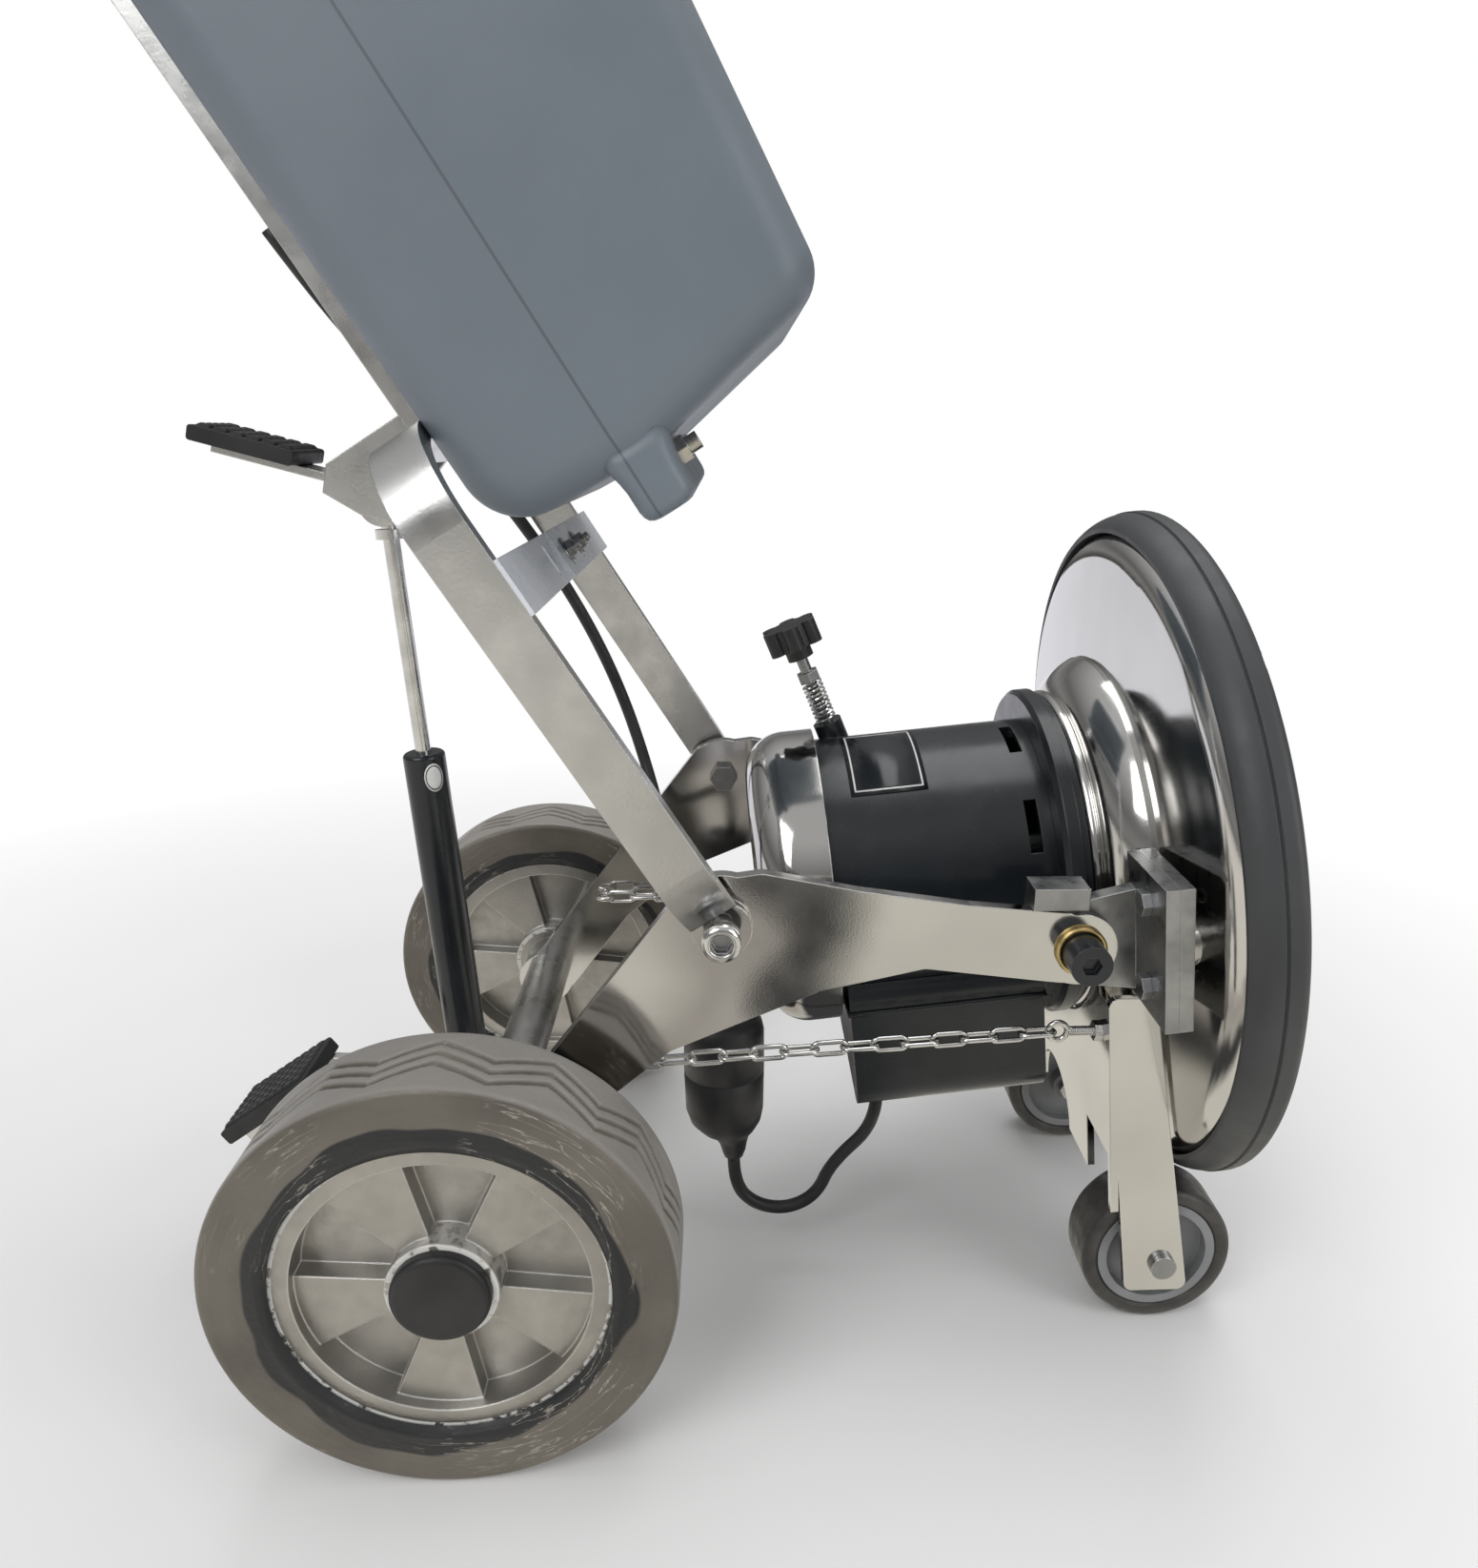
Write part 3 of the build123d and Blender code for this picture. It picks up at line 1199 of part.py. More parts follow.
# Handle: U-bar, cross bracket, stem with handle bar
with BuildPart() as u_bar:
    with BuildSketch(handle_face(-BAR_W / 2)):
        with Locations((0, (BAR_TOP - BAR_TAIL) / 2)):
            Rectangle(2 * BAR_OUT_Y, BAR_TOP + BAR_TAIL)
        fillet(vertices().group_by(Axis.Z)[-1], radius=BAR_BEND_R)
    extrude(amount=BAR_W)
    with BuildSketch(handle_face(-BAR_W / 2)):
        with Locations((0, (BAR_TOP - BAR_T - BAR_TAIL) / 2 - BAR_TAIL)):
            Rectangle(2 * BAR_IN_Y, BAR_TOP - BAR_T + BAR_TAIL * 3)
        fillet(vertices().group_by(Axis.Z)[-1], radius=BAR_BEND_R - BAR_T)
    extrude(amount=BAR_W, mode=Mode.SUBTRACT)
    with BuildSketch(round_plane(PIVOT, BAR_OUT_Y)):
        Circle(PIVOT_BOLT_R + RUN_FIT)
    extrude(amount=2 * BAR_OUT_Y, mode=Mode.SUBTRACT)
save(u_bar, "u_bar")

BRACKET_MID = (BRACKET_LOW + BRACKET_HIGH) / 2
BRACKET_H = BRACKET_HIGH - BRACKET_LOW
with BuildPart() as cross_bracket:
    for side, layer in ((RIGHT, 0), (LEFT, 1)):
        inner_y = -side * BRACKET_LAP
        outer_y = side * BAR_OUT_Y
        with BuildSketch(handle_face(STEM_FRONT + layer * BRACKET_T)):
            with Locations(((inner_y + outer_y) / 2, BRACKET_MID)):
                Rectangle(abs(outer_y - inner_y), BRACKET_H)
            with Locations((side * BRACKET_LAP * 2, BRACKET_MID), (0, BRACKET_MID)):
                SlotOverall(BRACKET_SLOT_L, BRACKET_SLOT_W, rotation=90, mode=Mode.SUBTRACT)
        extrude(amount=BRACKET_T)
save(cross_bracket, "cross_bracket")

STEM_TOP = GRIP_BAR_ALONG
with BuildPart() as stem:
    with BuildSketch(handle_plane(BAR_TOP)):
        Rectangle(BAR_W, STEM_W)
        Rectangle(BAR_W - 2 * STEM_WALL, STEM_W - 2 * STEM_WALL, mode=Mode.SUBTRACT)
    extrude(amount=STEM_TOP - BAR_TOP)
    with BuildSketch(handle_side(GRIP_BAR_HALF)):
        with Locations((0, GRIP_BAR_ALONG)):
            Circle(GRIP_BAR_R)
    extrude(amount=2 * GRIP_BAR_HALF)
save(stem, "stem")

with BuildPart() as grips:
    for side in (RIGHT, LEFT):
        with BuildSketch(handle_side(side * (GRIP_BAR_HALF + SEAT_GAP))):
            with Locations((0, GRIP_BAR_ALONG)):
                Circle(GRIP_R)
        extrude(amount=side * GRIP_L)
        with BuildSketch(handle_side(side * GRIP_BAR_HALF)):
            with Locations((0, GRIP_BAR_ALONG)):
                Circle(GRIP_BAR_R + RUN_FIT)
        extrude(amount=side * GRIP_L, mode=Mode.SUBTRACT)
        with BuildSketch(handle_side(side * (GRIP_BAR_HALF + SEAT_GAP))):
            with Locations((0, GRIP_BAR_ALONG)):
                Circle(GRIP_R)
        extrude(amount=-side * 4)
save(grips, "grips")

BOX_MID_FWD = (BOX_REAR + BOX_FRONT) / 2
BOX_MID_ALONG = (BOX_LOW + BOX_HIGH) / 2
with BuildPart() as switch_box:
    with BuildSketch(handle_side(BOX_HALF_Y)):
        with Locations((BOX_MID_FWD, BOX_MID_ALONG)):
            RectangleRounded(BOX_FRONT - BOX_REAR, BOX_HIGH - BOX_LOW, BOX_FILLET)
    extrude(amount=2 * BOX_HALF_Y)
    with BuildSketch(handle_face(BOX_REAR)):
        with Locations((BOX_HALF_Y / 2, BOX_LOW + 2 * GLAND_R)):
            Circle(GLAND_R)
    extrude(amount=-GLAND_L / 4)
    with BuildSketch(handle_side(BOX_HALF_Y)):
        with Locations((0, GRIP_BAR_ALONG)):
            Circle(GRIP_BAR_R + SEAT_GAP)
        with Locations((LEVER_FWD, LEVER_ALONG)):
            Circle(LEVER_SHAFT_R + RUN_FIT)
    extrude(amount=2 * BOX_HALF_Y, mode=Mode.SUBTRACT)
    with BuildSketch(handle_plane(BOX_LOW)):
        Rectangle(BAR_W + 2 * SEAT_GAP, STEM_W + 2 * SEAT_GAP)
    extrude(amount=STEM_TOP - BOX_LOW, mode=Mode.SUBTRACT)
    with BuildSketch(handle_face(BOX_FRONT)):
        with Locations((0, BUTTON_ALONG)):
            Circle(BUTTON_R + RUN_FIT)
    extrude(amount=-2 * BUTTON_OUT, mode=Mode.SUBTRACT)
save(switch_box, "switch_box")

LEVER_IN_Y = BOX_HALF_Y + WASHER_GAP
LEVER_OUT_Y = GRIP_BAR_HALF - 2 * GRIP_R / 3
with BuildPart() as start_lever:
    with BuildSketch(handle_side(LEVER_OUT_Y)):
        with Locations((LEVER_FWD, LEVER_ALONG)):
            Circle(LEVER_SHAFT_R)
    extrude(amount=2 * LEVER_OUT_Y)
    for side in (RIGHT, LEFT):
        with BuildSketch(handle_side(side * LEVER_OUT_Y)):
            with BuildLine():
                Polyline(
                    (LEVER_FWD - LEVER_SHAFT_R, LEVER_ALONG),
                    (LEVER_FWD + LEVER_SHAFT_R, LEVER_ALONG),
                    (LEVER_TIP_FWD, LEVER_TIP_ALONG - 2 * GRIP_R),
                    (LEVER_TIP_FWD, LEVER_TIP_ALONG),
                    (LEVER_TIP_FWD - LEVER_T, LEVER_TIP_ALONG),
                    (LEVER_TIP_FWD - LEVER_T, LEVER_TIP_ALONG - 2 * GRIP_R + LEVER_T),
                    close=True,
                )
            make_face()
        extrude(amount=side * (LEVER_OUT_Y - LEVER_IN_Y))
save(start_lever, "start_lever")

with BuildPart() as lock_button:
    with BuildSketch(handle_face(BOX_FRONT + BUTTON_OUT)):
        with Locations((0, BUTTON_ALONG)):
            Circle(BUTTON_R)
    extrude(amount=-1.5 * BUTTON_OUT)
save(lock_button, "lock_button")

# Solution tank with its keel and filler neck, cap and outlet
TANK_REAR = STEM_FRONT + SEAT_GAP
TANK_OUTLINE = [
    (TANK_REAR, TANK_LOW + 6),
    (KEEL_FWD + KEEL_W / 2, TANK_LOW),
    (TANK_REAR + TANK_DEPTH_LOW, TANK_LOW + 22),
    (TANK_REAR + TANK_DEPTH_TOP, TANK_TOP),
    (TANK_REAR, TANK_TOP),
]
TANK_CORNERS = [1.5 * TANK_EDGE_R, 2 * TANK_EDGE_R, TANK_EDGE_R + 2, TANK_EDGE_R + 2, TANK_EDGE_R + 2]

with BuildPart() as tank_cavity:
    with BuildSketch(handle_side(TANK_HALF_Y - TANK_WALL)):
        with BuildLine():
            FilletPolyline(*TANK_OUTLINE, radius=TANK_CORNERS, close=True)
        make_face()
        offset(amount=-TANK_WALL, mode=Mode.REPLACE)
    extrude(amount=2 * (TANK_HALF_Y - TANK_WALL))
    fillet(tank_cavity.faces().filter_by(Axis.Y).edges(), radius=TANK_EDGE_R - TANK_WALL)

with BuildPart() as tank:
    with BuildSketch(handle_side(TANK_HALF_Y)):
        with BuildLine():
            FilletPolyline(*TANK_OUTLINE, radius=TANK_CORNERS, close=True)
        make_face()
    extrude(amount=2 * TANK_HALF_Y)
    fillet(tank.faces().filter_by(Axis.Y).edges(), radius=TANK_EDGE_R)
    with BuildSketch(handle_plane(TANK_LOW - KEEL_DROP)):
        with Locations((KEEL_FWD + KEEL_W / 2, 0)):
            RectangleRounded(KEEL_W, 2 * (TANK_HALF_Y - KEEL_INSET), KEEL_W / 3)
    extrude(amount=KEEL_DROP + 3 * TANK_WALL)
    with BuildSketch(handle_plane(TANK_TOP)):
        with Locations((MOUTH_FWD, 0)):
            Circle(MOUTH_R)
    extrude(amount=NECK_H)
    add(tank_cavity.part, mode=Mode.SUBTRACT)
    with BuildSketch(handle_plane(TANK_TOP - 2 * TANK_WALL)):
        with Locations((MOUTH_FWD, 0)):
            Circle(MOUTH_R - NECK_WALL)
    extrude(amount=NECK_H + 2 * TANK_WALL, mode=Mode.SUBTRACT)
save(tank, "tank")

CAP_IN_R = MOUTH_R + RUN_FIT
with BuildPart() as tank_cap:
    with BuildSketch(handle_plane(TANK_TOP + WASHER_GAP)):
        with Locations((MOUTH_FWD, 0)):
            Circle(CAP_IN_R + CAP_WALL)
    extrude(amount=CAP_H)
    with BuildSketch(handle_plane(TANK_TOP + WASHER_GAP)):
        with Locations((MOUTH_FWD, 0)):
            Circle(CAP_IN_R)
    extrude(amount=NECK_H - WASHER_GAP + SEAT_GAP, mode=Mode.SUBTRACT)
    fillet(tank_cap.edges().filter_by(GeomType.CIRCLE).sort_by(Axis.Z)[-1], radius=3)
save(tank_cap, "tank_cap")

VALVE_R = 8.0
VALVE_L = 14.0
VALVE_FACE = KEEL_FWD + KEEL_W
VALVE_ALONG = TANK_LOW - KEEL_DROP + 18
with BuildPart() as outlet_valve:
    with BuildSketch(handle_face(VALVE_FACE)):
        with Locations((VALVE_Y, VALVE_ALONG)):
            RegularPolygon(VALVE_R, 6)
    extrude(amount=VALVE_L / 2)
    with BuildSketch(handle_face(VALVE_FACE)):
        with Locations((VALVE_Y, VALVE_ALONG)):
            Circle(VALVE_R * 0.6)
    extrude(amount=VALVE_L)
save(outlet_valve, "outlet_valve")

# Release bracket behind the U-bar's top: lugs with the strut pin and the pedal pin
RELEASE_IN_Y = STRUT_EYE_HALF + STRUT_EYE_PLAY
STRUT_TOP = handle_point(STRUT_TOP_FWD, STRUT_TOP_ALONG)
PEDAL_PIVOT = handle_point(PEDAL_FWD, PEDAL_ALONG)
LUG_EDGE = 12.0

with BuildPart() as release_bracket:
    for side in (RIGHT, LEFT):
        with BuildSketch(handle_side(side * RELEASE_IN_Y)):
            with BuildLine():
                Polyline(
                    (-STEM_FRONT, BAR_TOP - BAR_T),
                    (-STEM_FRONT, PEDAL_ALONG + LUG_EDGE),
                    (PEDAL_FWD, PEDAL_ALONG + LUG_EDGE),
                    (PEDAL_FWD - LUG_EDGE, PEDAL_ALONG),
                    (STRUT_TOP_FWD - LUG_EDGE, STRUT_TOP_ALONG),
                    (STRUT_TOP_FWD, STRUT_TOP_ALONG - LUG_EDGE),
                    close=True,
                )
            make_face()
        extrude(amount=-side * LUG_T)
    pins = [
        ((STRUT_TOP_FWD, STRUT_TOP_ALONG), STRUT_PIN_R),
        ((PEDAL_FWD, PEDAL_ALONG), PEDAL_PIN_R),
    ]
    for spot, pin_r in pins:
        with BuildSketch(handle_side(RELEASE_IN_Y + LUG_T)):
            with Locations(spot):
                Circle(pin_r)
        extrude(amount=2 * (RELEASE_IN_Y + LUG_T))
save(release_bracket, "release_bracket")

# Release pedal: strip with a boss round the pedal pin, and its rubber pad
PEDAL_SLOPE = radians(PEDAL_SLOPE_DEG)


def on_pedal(back, above):
    """A side-view point of the release pedal: back from its pivot and above the strip's middle."""
    x = PEDAL_PIVOT.X - back * cos(PEDAL_SLOPE) + above * sin(PEDAL_SLOPE)
    z = PEDAL_PIVOT.Z + back * sin(PEDAL_SLOPE) + above * cos(PEDAL_SLOPE)
    return (x, z)


PEDAL_HALF_Y = RELEASE_IN_Y - SEAT_GAP
STRIP_TOP = PEDAL_STRIP_T / 2
PAD_START = PEDAL_STRIP_L - PEDAL_PAD_L + PEDAL_BOSS_R
with BuildPart() as release_pedal:
    with BuildSketch(side_plane(PEDAL_HALF_Y)):
        with BuildLine():
            Polyline(
                on_pedal(0, STRIP_TOP),
                on_pedal(PEDAL_STRIP_L, STRIP_TOP),
                on_pedal(PEDAL_STRIP_L, -STRIP_TOP),
                on_pedal(0, -STRIP_TOP),
                close=True,
            )
        make_face()
        with Locations((PEDAL_PIVOT.X, PEDAL_PIVOT.Z)):
            Circle(PEDAL_BOSS_R)
            Circle(PEDAL_PIN_R + RUN_FIT, mode=Mode.SUBTRACT)
    extrude(amount=2 * PEDAL_HALF_Y)
save(release_pedal, "release_pedal")

with BuildPart() as release_pad:
    with BuildSketch(side_plane(PEDAL_PAD_HALF)):
        with BuildLine():
            Polyline(
                on_pedal(PAD_START, STRIP_TOP),
                on_pedal(PAD_START + PEDAL_PAD_L, STRIP_TOP),
                on_pedal(PAD_START + PEDAL_PAD_L, STRIP_TOP + PEDAL_PAD_T),
                on_pedal(PAD_START, STRIP_TOP + PEDAL_PAD_T),
                close=True,
            )
        make_face()
    extrude(amount=2 * PEDAL_PAD_HALF)
    fillet(release_pad.edges().filter_by(Axis.Y), radius=2)
save(release_pad, "release_pad")

# Gas strut between the axle tube's lugs and the release bracket
STRUT_DX = STRUT_TOP.X - STRUT_FOOT[0]
STRUT_DZ = STRUT_TOP.Z - STRUT_FOOT[1]
STRUT_L = hypot(STRUT_DX, STRUT_DZ)
STRUT_DIR = Vector(STRUT_DX / STRUT_L, 0, STRUT_DZ / STRUT_L)
FOOT_POINT = Vector(STRUT_FOOT[0], 0, STRUT_FOOT[1])


def strut_plane(along):
    """Cross-section of the strut, from its foot pin; extruding goes up."""
    return Plane(origin=FOOT_POINT + STRUT_DIR * along, x_dir=(0, 1, 0), z_dir=STRUT_DIR)


CYL_LOW = FOOT_EYE_R + 6.0
with BuildPart() as strut_cylinder:
    with BuildSketch(strut_plane(CYL_LOW)):
        Circle(STRUT_R)
    extrude(amount=STRUT_CYL_L - CYL_LOW)
    fillet(strut_cylinder.edges().filter_by(GeomType.CIRCLE), radius=3)
    with BuildSketch(strut_plane(0)):
        Rectangle(2 * FOOT_EYE_HALF, 1.4 * FOOT_EYE_R)
    extrude(amount=CYL_LOW)
    with BuildSketch(round_plane(STRUT_FOOT, FOOT_EYE_HALF)):
        Circle(FOOT_EYE_R)
    extrude(amount=2 * FOOT_EYE_HALF)
    with BuildSketch(round_plane(STRUT_FOOT, FOOT_EYE_HALF)):
        Circle(FOOT_PIN_R + RUN_FIT)
    extrude(amount=2 * FOOT_EYE_HALF, mode=Mode.SUBTRACT)
    with BuildSketch(strut_plane(STRUT_CYL_L)):
        Circle(STRUT_ROD_R + RUN_FIT)
    extrude(amount=-(STRUT_CYL_L - CYL_LOW - STRUT_R), mode=Mode.SUBTRACT)
save(strut_cylinder, "strut_cylinder")

COLLAR_R = 9.0
COLLAR_T = 6.0
with BuildPart() as strut_rod:
    with BuildSketch(strut_plane(STRUT_CYL_L - STRUT_ROD_IN)):
        Circle(STRUT_ROD_R)
    extrude(amount=STRUT_L - STRUT_CYL_L + STRUT_ROD_IN - STRUT_EYE_R + 2)
    with BuildSketch(strut_plane(STRUT_L - STRUT_EYE_R - 8)):
        Circle(COLLAR_R)
    extrude(amount=COLLAR_T)
    with BuildSketch(round_plane((STRUT_TOP.X, STRUT_TOP.Z), STRUT_EYE_HALF)):
        Circle(STRUT_EYE_R)
        Circle(STRUT_PIN_R + STRUT_EYE_PLAY, mode=Mode.SUBTRACT)
    extrude(amount=2 * STRUT_EYE_HALF)
save(strut_rod, "strut_rod")

# Lead connector under the frame
with BuildPart() as lead_connector:
    with BuildSketch(Plane.XY.offset(PLUG_LOW_Z)):
        with Locations((AXLE_X + PLUG_DX, PLUG_Y)):
            Circle(PLUG_R)
    extrude(amount=PLUG_HIGH_Z - PLUG_LOW_Z)
    fillet(lead_connector.edges().filter_by(GeomType.CIRCLE), radius=PLUG_R * 0.4)
save(lead_connector, "lead_connector")


# Leads: straight runs joined by tangent arcs, each arc as large as its runs allow
def lead(name, places):
    """A round lead along a route, with the arcs' radii and its length printed."""
    radii = []
    for before, here, after in zip(places, places[1:], places[2:]):
        first = here - before
        second = after - here
        turn = radians(first.get_angle(second))
        radii.append(0.45 * min(first.length, second.length) / tan(turn / 2))
    with BuildPart() as cord:
        with BuildLine() as path:
            FilletPolyline(*places, radius=radii)
        with BuildSketch(Plane(origin=path.line @ 0, z_dir=path.line % 0)):
            RegularPolygon(LEAD_R, 8)
        sweep(path=path.line)
    save(cord, name)
    length = path.wires()[0].length
    print(name, "least bend radius", round(min(radii)), "mm, length", round(length), "mm")


LEAD_BACK = -STEM_FRONT - LEAD_R - SEAT_GAP
PLUG_X = AXLE_X + PLUG_DX
HANDLE_ROUTE = [
    handle_point(LEAD_BACK, 452, 0),
    handle_point(LEAD_BACK, 412, 8),
    handle_point(LEAD_BACK, 372, 36),
    handle_point(LEAD_BACK, 330, 84),
    handle_point(LEAD_BACK, 284, 124),
    handle_point(LEAD_BACK, 228, 144),
    handle_point(LEAD_BACK - 2, 165, 147),
    handle_point(LEAD_BACK - 10, 105, 144),
    handle_point(LEAD_BACK - 22, 50, 128),
    Vector(AXLE_X + 106, 92, 268),
    Vector(AXLE_X + 124, 46, 258),
    Vector(AXLE_X + 142, 2, 252),
    Vector(PLUG_X - 4, PLUG_Y + 15, PLUG_HIGH_Z + 48),
    Vector(PLUG_X, PLUG_Y, PLUG_HIGH_Z + 26),
    Vector(PLUG_X, PLUG_Y, PLUG_HIGH_Z + SEAT_GAP),
]
lead("handle_lead", HANDLE_ROUTE)

MOTOR_LOOP = [(0, 24), (40, 24), (80, 24), (120, 24), (160, 28)]
CAN_ENTRY = 16.0
CAN_TAIL = 30.0
MOTOR_LEAD_END = HEAD_POINT + HEAD_DIR * (CAN_BACK + CAN_ENTRY) - HEAD_UP * (CAN_LOW + SEAT_GAP)
MOTOR_LEAD_END = MOTOR_LEAD_END + Vector(0, PLUG_Y, 0)
MOTOR_ROUTE = [Vector(PLUG_X, PLUG_Y, PLUG_LOW_Z - SEAT_GAP)]
for heading_deg, run in MOTOR_LOOP:
    heading = radians(heading_deg)
    MOTOR_ROUTE.append(MOTOR_ROUTE[-1] + Vector(sin(heading), 0, -cos(heading)) * run)
MOTOR_ROUTE.append(MOTOR_LEAD_END - HEAD_UP * CAN_TAIL)
MOTOR_ROUTE.append(MOTOR_LEAD_END)
lead("motor_lead", MOTOR_ROUTE)
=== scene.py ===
import bpy
import bmesh
import json
import math
from mathutils import Matrix, Vector


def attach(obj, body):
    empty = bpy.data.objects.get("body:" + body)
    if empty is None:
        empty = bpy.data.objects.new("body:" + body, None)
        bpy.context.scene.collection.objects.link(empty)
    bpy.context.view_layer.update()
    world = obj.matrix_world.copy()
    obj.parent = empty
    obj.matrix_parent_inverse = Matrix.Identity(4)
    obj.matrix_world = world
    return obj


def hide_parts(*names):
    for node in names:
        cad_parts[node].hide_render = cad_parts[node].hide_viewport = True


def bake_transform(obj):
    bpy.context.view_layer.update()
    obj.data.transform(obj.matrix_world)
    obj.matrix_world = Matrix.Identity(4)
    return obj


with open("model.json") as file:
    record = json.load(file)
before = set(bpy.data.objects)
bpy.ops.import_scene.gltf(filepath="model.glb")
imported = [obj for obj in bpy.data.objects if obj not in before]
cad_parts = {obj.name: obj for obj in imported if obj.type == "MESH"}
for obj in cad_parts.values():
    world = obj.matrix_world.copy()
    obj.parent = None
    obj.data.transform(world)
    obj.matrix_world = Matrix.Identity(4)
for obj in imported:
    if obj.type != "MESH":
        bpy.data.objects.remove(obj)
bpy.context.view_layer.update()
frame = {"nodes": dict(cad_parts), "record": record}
nodes = frame["nodes"]
scene = bpy.context.scene
scene.view_settings.view_transform = "Standard"

# Places shared with the source, in metres
AXLE_X = -0.0238647
WHEEL_R = 0.127
LEAN = math.radians(57.5)
UP = Vector((-math.cos(LEAN), 0, math.sin(LEAN)))
FWD = Vector((math.sin(LEAN), 0, math.cos(LEAN)))
PIVOT = Vector((AXLE_X + 0.1496, 0, 0.3052))
TILT = math.radians(6.3)
HEAD = Vector((AXLE_X + 0.4213, 0, 0.3007))
HEAD_DIR = Vector((math.cos(TILT), 0, math.sin(TILT)))
HEAD_UP = Vector((-math.sin(TILT), 0, math.cos(TILT)))
HEAD_PIVOT = Vector((AXLE_X + 0.356, 0, 0.288))
AHEAD = Vector((1, 0, 0))
SIDE = Vector((0, 1, 0))
LIFT = Vector((0, 0, 1))
RIGHT_LEFT = ((-1, "right"), (1, "left"))


def handle_at(fwd, along, y=0.0):
    """A point of the handle's frame, in metres."""
    return PIVOT + FWD * fwd + UP * along + Vector((0, y, 0))


def head_at(along, y, up):
    """A point of the head's frame, in metres."""
    return HEAD + HEAD_DIR * along + HEAD_UP * up + Vector((0, y, 0))


# Steps that the materials are made of
NOISE_LOW = 0.3
NOISE_HIGH = 0.7
BEVEL_SAMPLES = 4
WORN_FROM = 0.86
WORN_TO = 0.985
PATCH_DETAIL = 6.0
WEAR_SCALE = 3.1
WEAR_DETAIL = 5.0
WAVE_SCALE = 7.0
WAVE_DETAIL = 1.0
WAVE_DEPTH = 0.01
GRAIN_DETAIL = 3.0


def tree_of(name):
    """A new node material with its shader and its object coordinates."""
    material = bpy.data.materials.new(name)
    material.use_nodes = True
    tree = material.node_tree
    coords = tree.nodes.new("ShaderNodeTexCoord")
    return material, tree, tree.nodes["Principled BSDF"], coords.outputs["Object"]


def feed(tree, socket, value):
    """Gives an input another node's value, or a fixed one."""
    if isinstance(value, bpy.types.NodeSocket):
        tree.links.new(value, socket)
    else:
        socket.default_value = value


def maths(tree, operation, first, second=None, kind="Math", result="Value"):
    """One sum on a value or a vector, with a second one if it needs it."""
    step = tree.nodes.new("ShaderNode" + kind)
    step.operation = operation
    feed(tree, step.inputs[0], first)
    if second is not None:
        feed(tree, step.inputs[1], second)
    return step.outputs[result]


def split(tree, vector):
    """The three values of a vector."""
    parts = tree.nodes.new("ShaderNodeSeparateXYZ")
    tree.links.new(vector, parts.inputs["Vector"])
    return parts.outputs


def combined(tree, *values):
    """A vector put together from three values."""
    vector = tree.nodes.new("ShaderNodeCombineXYZ")
    for socket, value in zip(vector.inputs, values):
        feed(tree, socket, value)
    return vector.outputs["Vector"]


def noise(tree, source, scale, detail=4.0, stretch=None):
    """A noise value in object space, stretched if asked."""
    if stretch is not None:
        mapping = tree.nodes.new("ShaderNodeMapping")
        mapping.inputs["Scale"].default_value = stretch
        tree.links.new(source, mapping.inputs["Vector"])
        source = mapping.outputs["Vector"]
    texture = tree.nodes.new("ShaderNodeTexNoise")
    texture.inputs["Scale"].default_value = scale
    texture.inputs["Detail"].default_value = detail
    tree.links.new(source, texture.inputs["Vector"])
    return texture.outputs["Fac"]


def spread(tree, value, low, high, start=NOISE_LOW, end=NOISE_HIGH):
    """A value remapped from one range to another."""
    remap = tree.nodes.new("ShaderNodeMapRange")
    remap.inputs["From Min"].default_value = start
    remap.inputs["From Max"].default_value = end
    remap.inputs["To Min"].default_value = low
    remap.inputs["To Max"].default_value = high
    tree.links.new(value, remap.inputs["Value"])
    return remap.outputs["Result"]


def ramped(tree, value, stops):
    """A colour from a row of places and tones."""
    ramp = tree.nodes.new("ShaderNodeValToRGB")
    points = ramp.color_ramp.elements
    points[0].position = stops[0][0]
    points[1].position = stops[-1][0]
    points[0].color = (*stops[0][1], 1)
    points[1].color = (*stops[-1][1], 1)
    for place, tone in stops[1:-1]:
        points.new(place).color = (*tone, 1)
    tree.links.new(value, ramp.inputs["Fac"])
    return ramp.outputs["Color"]


def tint(tree, value, dark, light):
    """A colour between two tones by a noise value."""
    return ramped(tree, value, [(NOISE_LOW, dark), (NOISE_HIGH, light)])


def bevelled(tree, radius):
    """Normals rounded at the edges, and a mask that is 1 on those edges."""
    bevel = tree.nodes.new("ShaderNodeBevel")
    bevel.samples = BEVEL_SAMPLES
    bevel.inputs["Radius"].default_value = radius
    facing = tree.nodes.new("ShaderNodeNewGeometry")
    normal = bevel.outputs["Normal"]
    match = maths(tree, "DOT_PRODUCT", normal, facing.outputs["Normal"], "VectorMath")
    return normal, spread(tree, match, 1.0, 0.0, WORN_FROM, WORN_TO)


def relief(tree, height, strength, distance, normal=None):
    """A bump from a height value, on top of another normal if given."""
    bump = tree.nodes.new("ShaderNodeBump")
    bump.inputs["Strength"].default_value = strength
    bump.inputs["Distance"].default_value = distance
    tree.links.new(height, bump.inputs["Height"])
    if normal is not None:
        tree.links.new(normal, bump.inputs["Normal"])
    return bump.outputs["Normal"]


def mixed(tree, share, first, second):
    """A colour mixed from another colour and a fixed tone."""
    mix = tree.nodes.new("ShaderNodeMix")
    mix.data_type = "RGBA"
    mix.inputs["B"].default_value = (*second, 1)
    tree.links.new(share, mix.inputs["Factor"])
    tree.links.new(first, mix.inputs["A"])
    return mix.outputs["Result"]


def either(tree, share, first, second):
    """One shader or the other, by a share."""
    mix = tree.nodes.new("ShaderNodeMixShader")
    tree.links.new(share, mix.inputs["Fac"])
    tree.links.new(first, mix.inputs[1])
    tree.links.new(second, mix.inputs[2])
    return mix.outputs["Shader"]


